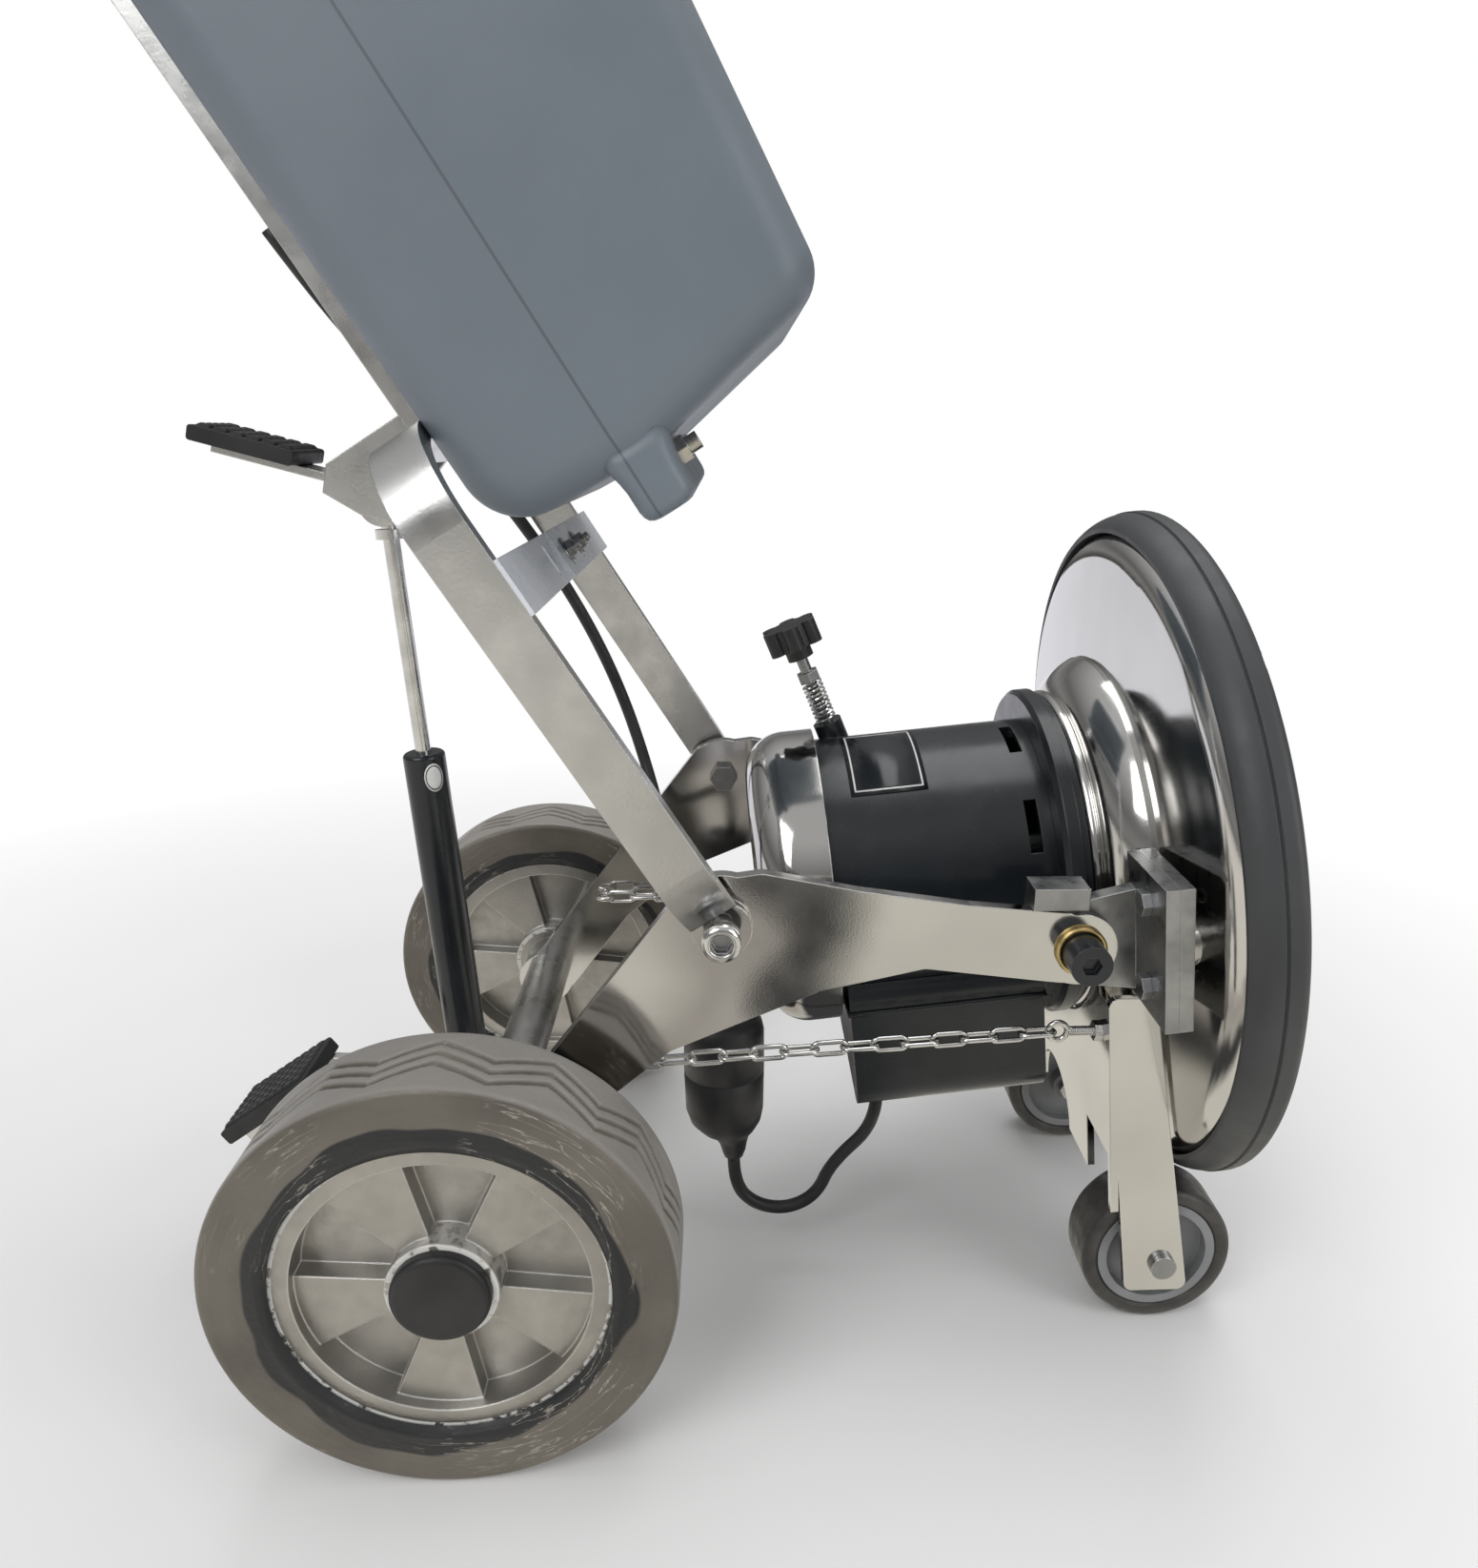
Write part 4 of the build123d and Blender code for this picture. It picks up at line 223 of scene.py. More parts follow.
def surface(name, dark, light, rough, metal=0.0, patch=14.0, grain=600.0, bump=0.05, depth=0.0004,
            stretch=None, edge=None, wave=0.0, crease=None, edge_r=0.0009, flake_or_painted_shade=None, flake_or_painted_shade_tone=None):
    """A finish with patchy colour and roughness, a fine grain, worn edges, and waves or marks if asked; a
    mark is flaked paint, or painted shade as on the tank.
    """
    material, tree, shader, here = tree_of(name)
    colour = tint(tree, noise(tree, here, patch, PATCH_DETAIL), dark, light)
    normal = None
    if edge is not None:
        normal, worn = bevelled(tree, edge_r)
        colour = mixed(tree, worn, colour, edge)
    shader.inputs["Metallic"].default_value = metal
    if flake_or_painted_shade is not None:
        share = flake_or_painted_shade(tree, here)
        colour = mixed(tree, share, colour, flake_or_painted_shade_tone)
        tree.links.new(spread(tree, share, metal, 0.0, 0.0, 1.0), shader.inputs["Metallic"])
    tree.links.new(colour, shader.inputs["Base Color"])
    wear = noise(tree, here, patch * WEAR_SCALE, WEAR_DETAIL)
    tree.links.new(spread(tree, wear, rough[0], rough[1]), shader.inputs["Roughness"])
    if wave:
        normal = relief(tree, noise(tree, here, WAVE_SCALE, WAVE_DETAIL), wave, WAVE_DEPTH, normal)
    if crease is not None:
        normal = relief(tree, crease(tree, here), 1.0, 1.0, normal)
    normal = relief(tree, noise(tree, here, grain, GRAIN_DETAIL, stretch), bump, depth, normal)
    tree.links.new(normal, shader.inputs["Normal"])
    return material


# Tank: sides that lean away from a thin parting line, with painted shade along that crease
PARTING_FWD = 0.0935
PARTING_SLOPE = 0.05
PARTING_SHADE_SHARE = 0.8
PARTING_INNER = 0.0003
PARTING_OUTER = 0.0011


def from_parting(tree, here):
    """Distance from the plane of the tank's parting line."""
    forward = maths(tree, "DOT_PRODUCT", here, FWD, "VectorMath")
    return maths(tree, "ABSOLUTE", maths(tree, "SUBTRACT", forward, PIVOT.dot(FWD) + PARTING_FWD))


def mould_slope(tree, here):
    """Height of the tank's sides: they lean away from the parting line."""
    return maths(tree, "MULTIPLY", from_parting(tree, here), -PARTING_SLOPE)


def painted_parting_shade(tree, here):
    """A high share on the thin parting line of the tank, where its dark tone is painted shade along the
    crease.
    """
    return spread(tree, from_parting(tree, here), PARTING_SHADE_SHARE, 0.0, PARTING_INNER, PARTING_OUTER)


# Big wheels: flaked paint on the rims
FLAKE_R = 0.0884
FLAKE_BLUR = 0.0007
HUB_RING_R = 0.0288
HUB_RING_INNER = 0.0013
HUB_RING_OUTER = 0.0019
FLAKE_SCALE = 190.0
FLAKE_DETAIL = 5.0
FLAKE_FROM = 0.41
FLAKE_TO = 0.47


def from_axle(tree, here):
    """Distance from the big wheels' axis, and the place seen from the axle's middle."""
    place = split(tree, maths(tree, "SUBTRACT", here, (AXLE_X, 0, WHEEL_R), "VectorMath", "Vector"))
    flat = combined(tree, place["X"], 0.0, place["Z"])
    return maths(tree, "LENGTH", flat, kind="VectorMath"), place


def rim_flakes(tree, here):
    """1 where the rim's paint has flaked: at the tyre's edge and round the hub's ring."""
    reach = from_axle(tree, here)[0]
    outer = spread(tree, reach, 0.0, 1.0, FLAKE_R, FLAKE_R + FLAKE_BLUR)
    hub = maths(tree, "ABSOLUTE", maths(tree, "SUBTRACT", reach, HUB_RING_R))
    inner = spread(tree, hub, 1.0, 0.0, HUB_RING_INNER, HUB_RING_OUTER)
    ragged = spread(tree, noise(tree, here, FLAKE_SCALE, FLAKE_DETAIL), 0.0, 1.0, FLAKE_FROM, FLAKE_TO)
    return maths(tree, "MULTIPLY", maths(tree, "MAXIMUM", outer, inner), ragged)


# Big wheels: dusty rubber under a wrinkled film
DUST_DARK = (0.098, 0.087, 0.070)
DUST_LIGHT = (0.172, 0.153, 0.125)
DUST_SCALE = 16.0
TREAD_TONE = (0.300, 0.285, 0.265)
TREAD_SHARE = 0.9
TREAD_FROM = WHEEL_R - 0.0015
TREAD_TO = WHEEL_R - 0.0002
DARK_TONE = (0.018, 0.019, 0.021)
DARK_BAND_R = 0.1025
DARK_BLUR = 0.0015
DARK_SCALE = 11.0
DARK_SWING = 0.006
FOLD_TONE = (0.46, 0.43, 0.37)
FOLD_TURN = 1.6
FOLD_REACH = 120.0
FOLD_ACROSS = 60.0
FOLD_SCALE = 1.5
FOLD_DETAIL = 5.0
FOLD_MIDDLE = 0.5
FOLD_WIDTH = 0.016
FOLD_PATCH = 13.0
FOLD_SHARE = 0.75
FOLD_FROM = 0.47
FOLD_TO = 0.58
FOLD_ON_TREAD = 0.15
SIDE_FROM = WHEEL_R - 0.004
SIDE_TO = WHEEL_R - 0.001
FOLD_BUMP = 0.30
FOLD_DEPTH = 0.002
FINE_SCALE = 240.0
FINE_BUMP = 0.5
FINE_DEPTH = 0.0009
FILM_SMOOTH = 0.30
FILM_ROUGH = 0.62
BLOT_DETAIL = 2.0


def tyre_rubber():
    """Dark rubber by the rim, a wrinkled film of dust outside it, and a paler dusty tread."""
    material, tree, shader, here = tree_of("wheel_rubber")
    reach, place = from_axle(tree, here)
    dust = tint(tree, noise(tree, here, DUST_SCALE, PATCH_DETAIL), DUST_DARK, DUST_LIGHT)
    tread_dust = spread(tree, reach, 0.0, TREAD_SHARE, TREAD_FROM, TREAD_TO)
    colour = mixed(tree, tread_dust, dust, TREAD_TONE)
    swing = spread(tree, noise(tree, here, DARK_SCALE, BLOT_DETAIL), -DARK_SWING, DARK_SWING)
    ragged = maths(tree, "ADD", reach, swing)
    dark = spread(tree, ragged, 1.0, 0.0, DARK_BAND_R, DARK_BAND_R + DARK_BLUR)
    colour = mixed(tree, dark, colour, DARK_TONE)
    around = combined(
        tree,
        maths(tree, "MULTIPLY", maths(tree, "ARCTAN2", place["X"], place["Z"]), FOLD_TURN),
        maths(tree, "MULTIPLY", reach, FOLD_REACH),
        maths(tree, "MULTIPLY", place["Y"], FOLD_ACROSS),
    )
    folds = noise(tree, around, FOLD_SCALE, FOLD_DETAIL)
    ridge = maths(tree, "ABSOLUTE", maths(tree, "SUBTRACT", folds, FOLD_MIDDLE))
    some = spread(tree, noise(tree, here, FOLD_PATCH, BLOT_DETAIL), 0.0, FOLD_SHARE, FOLD_FROM, FOLD_TO)
    lines = maths(tree, "MULTIPLY", spread(tree, ridge, 1.0, 0.0, 0.0, FOLD_WIDTH), some)
    on_side = spread(tree, reach, 1.0, FOLD_ON_TREAD, SIDE_FROM, SIDE_TO)
    colour = mixed(tree, maths(tree, "MULTIPLY", lines, on_side), colour, FOLD_TONE)
    tree.links.new(colour, shader.inputs["Base Color"])
    tree.links.new(spread(tree, folds, FILM_SMOOTH, FILM_ROUGH), shader.inputs["Roughness"])
    normal = relief(tree, folds, FOLD_BUMP, FOLD_DEPTH)
    normal = relief(tree, noise(tree, here, FINE_SCALE), FINE_BUMP, FINE_DEPTH, normal)
    tree.links.new(normal, shader.inputs["Normal"])
    return material


# Finishes: dark and light tone, range of roughness, then what sets the finish apart
POLISHED = surface(
    "polished_steel", (0.56, 0.55, 0.53), (0.66, 0.65, 0.63), (0.07, 0.15), metal=1.0, patch=9.0,
    grain=900.0, bump=0.04, edge=(0.82, 0.82, 0.81), wave=0.10,
)
SATIN = surface(
    "satin_steel", (0.56, 0.56, 0.55), (0.68, 0.68, 0.67), (0.20, 0.36), metal=1.0, patch=12.0,
    grain=420.0, bump=0.14, depth=0.0003, stretch=(1.0, 6.0, 1.0), edge=(0.74, 0.74, 0.73), wave=0.05,
)
ZINC = surface(
    "zinc_plate", (0.27, 0.275, 0.28), (0.39, 0.395, 0.40), (0.24, 0.42), metal=1.0, patch=40.0,
    grain=500.0, bump=0.1, edge=(0.66, 0.66, 0.66),
)
CAST = surface(
    "cast_aluminium", (0.39, 0.378, 0.357), (0.49, 0.478, 0.453), (0.34, 0.50), metal=1.0, patch=30.0,
    grain=420.0, bump=0.28, depth=0.0006, edge=(0.92, 0.91, 0.88), edge_r=0.0016, flake_or_painted_shade=rim_flakes,
    flake_or_painted_shade_tone=(0.80, 0.79, 0.75),
)
TYRE = tyre_rubber()
RUBBER = surface(
    "black_rubber", (0.010, 0.010, 0.011), (0.026, 0.026, 0.028), (0.42, 0.62), patch=22.0,
    grain=700.0, bump=0.2, depth=0.0005, edge=(0.050, 0.050, 0.052),
)
PAINT = surface(
    "black_paint", (0.007, 0.009, 0.011), (0.017, 0.021, 0.025), (0.18, 0.30), patch=16.0,
    grain=900.0, bump=0.1, depth=0.0003, edge=(0.075, 0.075, 0.078),
)
# Tank: the parting line's dark tone is painted shade along the crease
TANK = surface(
    "tank_grey", (0.146, 0.174, 0.201), (0.178, 0.210, 0.240), (0.38, 0.52), patch=6.0,
    grain=1100.0, bump=0.16, edge=(0.23, 0.255, 0.28), wave=0.06, crease=mould_slope,
    flake_or_painted_shade=painted_parting_shade, flake_or_painted_shade_tone=(0.085, 0.098, 0.115),
)
PLASTIC = surface(
    "black_plastic", (0.012, 0.012, 0.013), (0.028, 0.028, 0.030), (0.36, 0.55), patch=20.0,
    grain=1300.0, bump=0.18, edge=(0.055, 0.055, 0.057),
)
GREY = surface(
    "grey_plastic", (0.20, 0.205, 0.21), (0.28, 0.285, 0.29), (0.38, 0.55), patch=24.0,
    grain=1100.0, bump=0.16, edge=(0.36, 0.36, 0.37),
)
CHAIN = surface(
    "chain_steel", (0.56, 0.56, 0.55), (0.74, 0.74, 0.73), (0.12, 0.24), metal=1.0, patch=60.0,
    grain=900.0, bump=0.08,
)
GEAR = surface(
    "gear_steel", (0.34, 0.35, 0.36), (0.48, 0.49, 0.50), (0.24, 0.4), metal=1.0, patch=40.0,
    grain=500.0, bump=0.15,
)
BRASS = surface(
    "brass_fitting", (0.58, 0.42, 0.17), (0.76, 0.59, 0.29), (0.2, 0.38), metal=1.0, patch=60.0,
    grain=700.0, bump=0.1, edge=(0.90, 0.76, 0.46),
)
BOARD = surface(
    "pad_board", (0.05, 0.05, 0.052), (0.10, 0.10, 0.104), (0.5, 0.8), patch=30.0,
    grain=500.0, bump=0.4, depth=0.001,
)
NICKEL = surface(
    "plated_fitting", (0.40, 0.38, 0.34), (0.56, 0.54, 0.50), (0.2, 0.36), metal=1.0, patch=60.0,
    grain=700.0, bump=0.1, edge=(0.72, 0.71, 0.68),
)
BUMPER = surface(
    "bumper_rubber", (0.034, 0.036, 0.038), (0.052, 0.054, 0.057), (0.40, 0.56), patch=12.0,
    grain=500.0, bump=0.2, depth=0.0005, edge=(0.085, 0.087, 0.09),
)
CASTER = surface(
    "caster_rubber", (0.020, 0.020, 0.020), (0.070, 0.066, 0.060), (0.36, 0.6), patch=45.0,
    grain=400.0, bump=0.3, depth=0.0006, edge=(0.10, 0.096, 0.09),
)
# Cross bracket: a pale lavender colour with little metal is a painted reflection of the pale room in its
# steel
BRACKET_PAINTED_REFLECTION = surface(
    "bracket_painted_reflection", (0.72, 0.75, 0.80), (0.82, 0.85, 0.90), (0.20, 0.34), metal=0.20, patch=12.0,
    grain=420.0, bump=0.08, depth=0.0003, edge=(0.72, 0.73, 0.75), wave=0.05,
)
LABEL = surface(
    "pale_label", (0.70, 0.70, 0.68), (0.80, 0.80, 0.78), (0.3, 0.45), patch=30.0, grain=900.0, bump=0.06,
)

FINISH = {
    "polished_steel": POLISHED,
    "satin_steel": SATIN,
    "zinc_plate": ZINC,
    "cast_aluminium": CAST,
    "wheel_rubber": TYRE,
    "black_rubber": RUBBER,
    "black_paint": PAINT,
    "tank_grey": TANK,
    "black_plastic": PLASTIC,
    "grey_plastic": GREY,
    "chain_steel": CHAIN,
    "gear_steel": GEAR,
    "brass_fitting": BRASS,
    "pad_board": BOARD,
}
OWN_FINISH = {
    "outlet_valve": NICKEL,
    "cross_bracket": BRACKET_PAINTED_REFLECTION,
    "bumper": BUMPER,
    "caster_tyre_right": CASTER,
    "caster_tyre_left": CASTER,
}
for part in frame["record"]["subparts"]:
    node = nodes[part["node"]]
    node.data.materials.clear()
    node.data.materials.append(OWN_FINISH.get(part["node"], FINISH[part["material_slot"]]))


# Camera at the photo's view: focal length and middle of view in the photo's pixels
PHOTO_W, PHOTO_H = 1551, 1645
FOCAL_PX = 1176.83
MIDDLE_X, MIDDLE_Y = 835.14, 822.92
SENSOR = 36.0
CAMERA_AT = (AXLE_X + 0.15286, -0.72532, 0.56920)
YAW, PITCH, ROLL = 0.0636, 0.3032, -0.0186
CLIP_END = 50
camera_data = bpy.data.cameras.new("camera")
camera_data.sensor_width = SENSOR
camera_data.lens = FOCAL_PX / PHOTO_H * SENSOR
camera_data.shift_x = (PHOTO_W / 2 - MIDDLE_X) / PHOTO_H
camera_data.shift_y = (MIDDLE_Y - PHOTO_H / 2) / PHOTO_H
camera_data.clip_end = CLIP_END
camera = bpy.data.objects.new("camera", camera_data)
scene.collection.objects.link(camera)
ahead = Vector((math.sin(YAW) * math.cos(PITCH), math.cos(YAW) * math.cos(PITCH), -math.sin(PITCH)))
right = Vector((math.cos(YAW), -math.sin(YAW), 0))
down = ahead.cross(right)
right_rolled = right * math.cos(ROLL) + down * math.sin(ROLL)
down_rolled = down * math.cos(ROLL) - right * math.sin(ROLL)
turn = Matrix((right_rolled, -down_rolled, -ahead)).transposed()
camera.matrix_world = Matrix.Translation(CAMERA_AT) @ turn.to_4x4()
scene.camera = camera

# Floor: white and fading out for the eye; for glossy rays a painted reflection that glows warm with dark
# bands and a cool tone behind
FLOOR_HALF = 8
FLOOR_DROP = 0.0005
FADE_FROM = 0.55
FADE_TO = 1.25
DRIFT_SCALE = 4.0
DRIFT = 0.05
BANDS_FROM = -0.5
BANDS_TO = 1.0
PAINTED_REFLECTION_BANDS = (
    (0.0, (0.84, 0.81, 0.75)), (0.33, (0.80, 0.765, 0.69)), (0.40, (0.42, 0.39, 0.35)),
    (0.435, (0.56, 0.53, 0.48)), (0.457, (0.05, 0.05, 0.052)), (0.497, (0.06, 0.06, 0.06)),
    (0.535, (0.78, 0.75, 0.67)), (1.0, (0.82, 0.79, 0.70)),
)
BEHIND_FROM = 0.25
BEHIND_TO = 0.7
PAINTED_REFLECTION_BEHIND_TONE = (0.90, 0.90, 0.96)
WHITE = (1, 1, 1, 1)
floor_mesh = bpy.data.meshes.new("floor")
floor_edit = bmesh.new()
bmesh.ops.create_grid(floor_edit, x_segments=2, y_segments=2, size=FLOOR_HALF)
floor_edit.to_mesh(floor_mesh)
floor_edit.free()
floor = bpy.data.objects.new("floor", floor_mesh)
floor.location = (0, 0, -FLOOR_DROP)
scene.collection.objects.link(floor)
floor_mat = surface(
    "floor_white", (0.86, 0.86, 0.86), (0.90, 0.90, 0.90), (0.7, 0.8), patch=2.0, grain=40.0, bump=0.02,
)
floor_tree = floor_mat.node_tree
floor_here = floor_tree.nodes.new("ShaderNodeTexCoord").outputs["Object"]
floor_place = split(floor_tree, floor_here)
seen_by = floor_tree.nodes.new("ShaderNodeLightPath").outputs
far = floor_tree.nodes.new("ShaderNodeEmission")
far.inputs["Color"].default_value = WHITE
span = maths(floor_tree, "LENGTH", floor_here, kind="VectorMath")
fade = spread(floor_tree, span, 0.0, 1.0, FADE_FROM, FADE_TO)
fade = maths(floor_tree, "MULTIPLY", fade, seen_by["Is Camera Ray"])
plain = floor_tree.nodes["Principled BSDF"].outputs["BSDF"]
faded = either(floor_tree, fade, plain, far.outputs["Emission"])
drift = spread(floor_tree, noise(floor_tree, floor_here, DRIFT_SCALE, BLOT_DETAIL), -DRIFT, DRIFT)
drift = maths(floor_tree, "ADD", floor_place["X"], drift)
painted_reflection_band_tone = ramped(floor_tree, spread(floor_tree, drift, 0.0, 1.0, BANDS_FROM, BANDS_TO), PAINTED_REFLECTION_BANDS)
behind = spread(floor_tree, floor_place["Y"], 0.0, 1.0, BEHIND_FROM, BEHIND_TO)
# Painted reflection: glossy rays see the floor glow with warm tones, dark bands and a cool tone behind the
# machine
floor_painted_reflection = floor_tree.nodes.new("ShaderNodeEmission")
floor_tree.links.new(mixed(floor_tree, behind, painted_reflection_band_tone, PAINTED_REFLECTION_BEHIND_TONE), floor_painted_reflection.inputs["Color"])
floor_all = either(floor_tree, seen_by["Is Glossy Ray"], faded, floor_painted_reflection.outputs["Emission"])
floor_tree.links.new(floor_all, floor_tree.nodes["Material Output"].inputs["Surface"])
floor_mesh.materials.append(floor_mat)

# Room: white for the eye, a soft grey room in the metal
ROOM_TONES = (
    (0.30, (0.16, 0.14, 0.12)), (0.47, (0.10, 0.095, 0.09)), (0.54, (0.52, 0.51, 0.50)),
    (0.62, (0.30, 0.30, 0.30)), (0.85, (1.0, 1.0, 1.0)),
)
ROOM_STRENGTH = 0.55
world = bpy.data.worlds.new("studio")
scene.world = world
world.use_nodes = True
sky = world.node_tree
backdrop = sky.nodes["Background"]
backdrop.inputs["Color"].default_value = WHITE
backdrop.inputs["Strength"].default_value = 1.0
room = sky.nodes.new("ShaderNodeBackground")
room_way = split(sky, sky.nodes.new("ShaderNodeTexCoord").outputs["Generated"])
room_tone = ramped(sky, spread(sky, room_way["Z"], 0.0, 1.0, -1.0, 1.0), ROOM_TONES)
sky.links.new(room_tone, room.inputs["Color"])
room.inputs["Strength"].default_value = ROOM_STRENGTH
to_eye = sky.nodes.new("ShaderNodeLightPath").outputs["Is Camera Ray"]
sky_all = either(sky, to_eye, room.outputs["Background"], backdrop.outputs["Background"])
sky.links.new(sky_all, sky.nodes["World Output"].inputs["Surface"])


def softbox(name, place, target, size, power):
    """A large soft light aimed at a point."""
    data = bpy.data.lights.new(name, "AREA")
    data.shape = "RECTANGLE"
    data.size = size[0]
    data.size_y = size[1]
    data.energy = power
    lamp = bpy.data.objects.new(name, data)
    lamp.location = place
    lamp.rotation_euler = (Vector(target) - Vector(place)).to_track_quat("-Z", "Y").to_euler()
    scene.collection.objects.link(lamp)


softbox("key", place=(-1.4, -2.0, 2.3), target=(0, 0, 0.45), size=(1.6, 1.6), power=34)
softbox("fill", place=(2.0, -1.5, 1.3), target=(0.1, 0, 0.35), size=(1.2, 1.6), power=15)
softbox("top", place=(0.2, 0.6, 2.8), target=(0.1, 0, 0.4), size=(2.0, 2.0), power=30)

# Steps that the pieces are made of
SINK = 0.0003
SAME_PLACE = 1e-6


def piece_from(name, edit, material, smooth=True):
    """A mesh object made from a finished bmesh."""
    mesh = bpy.data.meshes.new(name)
    bmesh.ops.recalc_face_normals(edit, faces=edit.faces)
    edit.to_mesh(mesh)
    edit.free()
    for face in mesh.polygons:
        face.use_smooth = smooth
    mesh.materials.append(material)
    piece = bpy.data.objects.new(name, mesh)
    scene.collection.objects.link(piece)
    return piece


def dress(name, edit, material, body, smooth=False):
    """Finishes a small piece and puts it on its body."""
    piece = piece_from(name, edit, material, smooth)
    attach(piece, body)


def turns(count, first=0.0):
    """Even turns of a full circle."""
    return [first + 2 * math.pi * n / count for n in range(count)]


def circle(edit, centre, out, across, radius, sides):
    """A ring of points round a centre."""
    ring = []
    for a in turns(sides):
        ring.append(edit.verts.new(centre + (out * math.cos(a) + across * math.sin(a)) * radius))
    return ring


def join(edit, rings, closed=False, whole=True, capped=False):
    """Faces from each ring to the next; whole rings close on themselves, caps fill the first and last."""
    for here, there in zip(rings, rings[1:] + (rings[:1] if closed else [])):
        for n in range(len(here) if whole else len(here) - 1):
            m = (n + 1) % len(here)
            edit.faces.new((here[n], here[m], there[m], there[n]))
    if capped:
        edit.faces.new(rings[0][::-1])
        edit.faces.new(rings[-1])


def tube_loop(edit, centres, radius, sides=10):
    """A closed tube round a loop of points."""
    middle = sum(centres, Vector()) / len(centres)
    rings = []
    for k, centre in enumerate(centres):
        way = (centres[(k + 1) % len(centres)] - centres[k - 1]).normalized()
        out = centre - middle
        out = (out - way * out.dot(way)).normalized()
        rings.append(circle(edit, centre, out, way.cross(out), radius, sides))
    join(edit, rings, closed=True)


def tube_run(edit, centres, radius, sides=14):
    """An open tube with closed ends along a run of points."""
    out = SIDE
    rings = []
    for k, centre in enumerate(centres):
        way = (centres[min(k + 1, len(centres) - 1)] - centres[max(k - 1, 0)]).normalized()
        out = (out - way * out.dot(way)).normalized()
        rings.append(circle(edit, centre, out, way.cross(out), radius, sides))
    join(edit, rings, capped=True)


def turned(edit, origin, axis, across, profile, sides=36):
    """A form turned about an axis; a profile point is along, radius, and 1 where it is six-sided."""
    third = axis.cross(across)
    rings = []
    for a in turns(sides):
        out = across * math.cos(a) + third * math.sin(a)
        corner = 1 / math.cos((a + math.pi / 6) % (math.pi / 3) - math.pi / 6)
        rings.append(
            [edit.verts.new(origin + axis * x + out * (r * corner if six else r)) for x, r, six in profile]
        )
    join(edit, rings, closed=True, whole=False)
    bmesh.ops.remove_doubles(edit, verts=edit.verts, dist=SAME_PLACE)


# Safety chains with round wire, in the places of the solid links
LINK_COUNT = 16
LINK_PITCH = 0.0187
LINK_HALF = 0.007
LINK_BEND = 0.004
LINK_WIRE_R = 0.0015
BEND_STEPS = 12
EYE_REACH = 0.0132
EYE_X = AXLE_X + 0.359
EYE_Y = 0.112
EYE_Z = 0.215
CHAIN_BACK_Y = 0.130
CHAIN_DROP = 0.010
CHAIN_LENGTH = (LINK_COUNT - 1) * LINK_PITCH + 2 * EYE_REACH
CHAIN_RUN = math.sqrt(CHAIN_LENGTH ** 2 - CHAIN_DROP ** 2 - (CHAIN_BACK_Y - EYE_Y) ** 2)
for side, suffix in RIGHT_LEFT:
    front = Vector((EYE_X, side * EYE_Y, EYE_Z))
    back = Vector((front.x - CHAIN_RUN, side * CHAIN_BACK_Y, front.z - CHAIN_DROP))
    run = (back - front).normalized()
    across = LIFT.cross(run).normalized()
    lift = run.cross(across)
    edit = bmesh.new()
    for number in range(LINK_COUNT):
        centre = front + run * (EYE_REACH + number * LINK_PITCH)
        wide = lift if number % 2 else across
        loop = []
        for end in (1, -1):
            for step in range(BEND_STEPS + 1):
                a = math.pi * (step / BEND_STEPS - 0.5)
                reach = LINK_HALF + LINK_BEND * math.cos(a)
                loop.append(centre + run * (end * reach) + wide * (end * LINK_BEND * math.sin(a)))
        tube_loop(edit, loop, LINK_WIRE_R)
    links = piece_from(f"chain_links_{suffix}", edit, CHAIN)
    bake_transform(links)
    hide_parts(f"chain_{suffix}")


# Leads on one smooth line each
LEAD_D = 0.009
LEAD_BACK = -0.0198
ROUTE_STEPS = 12
ROUTE_ORDER = 3
PLUG = Vector((AXLE_X + 0.157, -0.045, 0))


def route_points(points):
    """Points along the smooth line that has the route's points as its control points."""
    curve = bpy.data.curves.new("route", "CURVE")
    curve.dimensions = "3D"
    curve.resolution_u = ROUTE_STEPS
    line = curve.splines.new("NURBS")
    line.points.add(len(points) - 1)
    for spot, point in zip(line.points, points):
        spot.co = (*point, 1)
    line.order_u = ROUTE_ORDER
    line.use_endpoint_u = True
    holder = bpy.data.objects.new("route", curve)
    scene.collection.objects.link(holder)
    track = bpy.data.meshes.new_from_object(holder)
    centres = [v.co.copy() for v in track.vertices]
    bpy.data.objects.remove(holder)
    bpy.data.curves.remove(curve)
    bpy.data.meshes.remove(track)
    return centres


def lead(name, node, points):
    """A round lead through the route's points, from one body to the other."""
    centres = route_points(points)
    edit = bmesh.new()
    tube_run(edit, centres, LEAD_D / 2)
    cord = piece_from(name, edit, RUBBER)
    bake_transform(cord)
    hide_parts(node)


handle_route = [
    handle_at(LEAD_BACK, 0.452, 0),
    handle_at(LEAD_BACK, 0.412, 0.008),
    handle_at(LEAD_BACK, 0.372, 0.036),
    handle_at(LEAD_BACK, 0.330, 0.084),
    handle_at(LEAD_BACK, 0.284, 0.124),
    handle_at(LEAD_BACK, 0.228, 0.144),
    handle_at(LEAD_BACK - 0.002, 0.165, 0.147),
    handle_at(LEAD_BACK - 0.010, 0.105, 0.144),
    handle_at(LEAD_BACK - 0.022, 0.050, 0.128),
    Vector((AXLE_X + 0.106, 0.092, 0.268)),
    Vector((AXLE_X + 0.124, 0.046, 0.258)),
    Vector((AXLE_X + 0.142, 0.002, 0.252)),
    PLUG + Vector((-0.004, 0.015, 0.240)),
    PLUG + Vector((0, 0, 0.218)),
    PLUG + Vector((0, 0, 0.1923)),
]
lead("handle_lead_line", "handle_lead", handle_route)

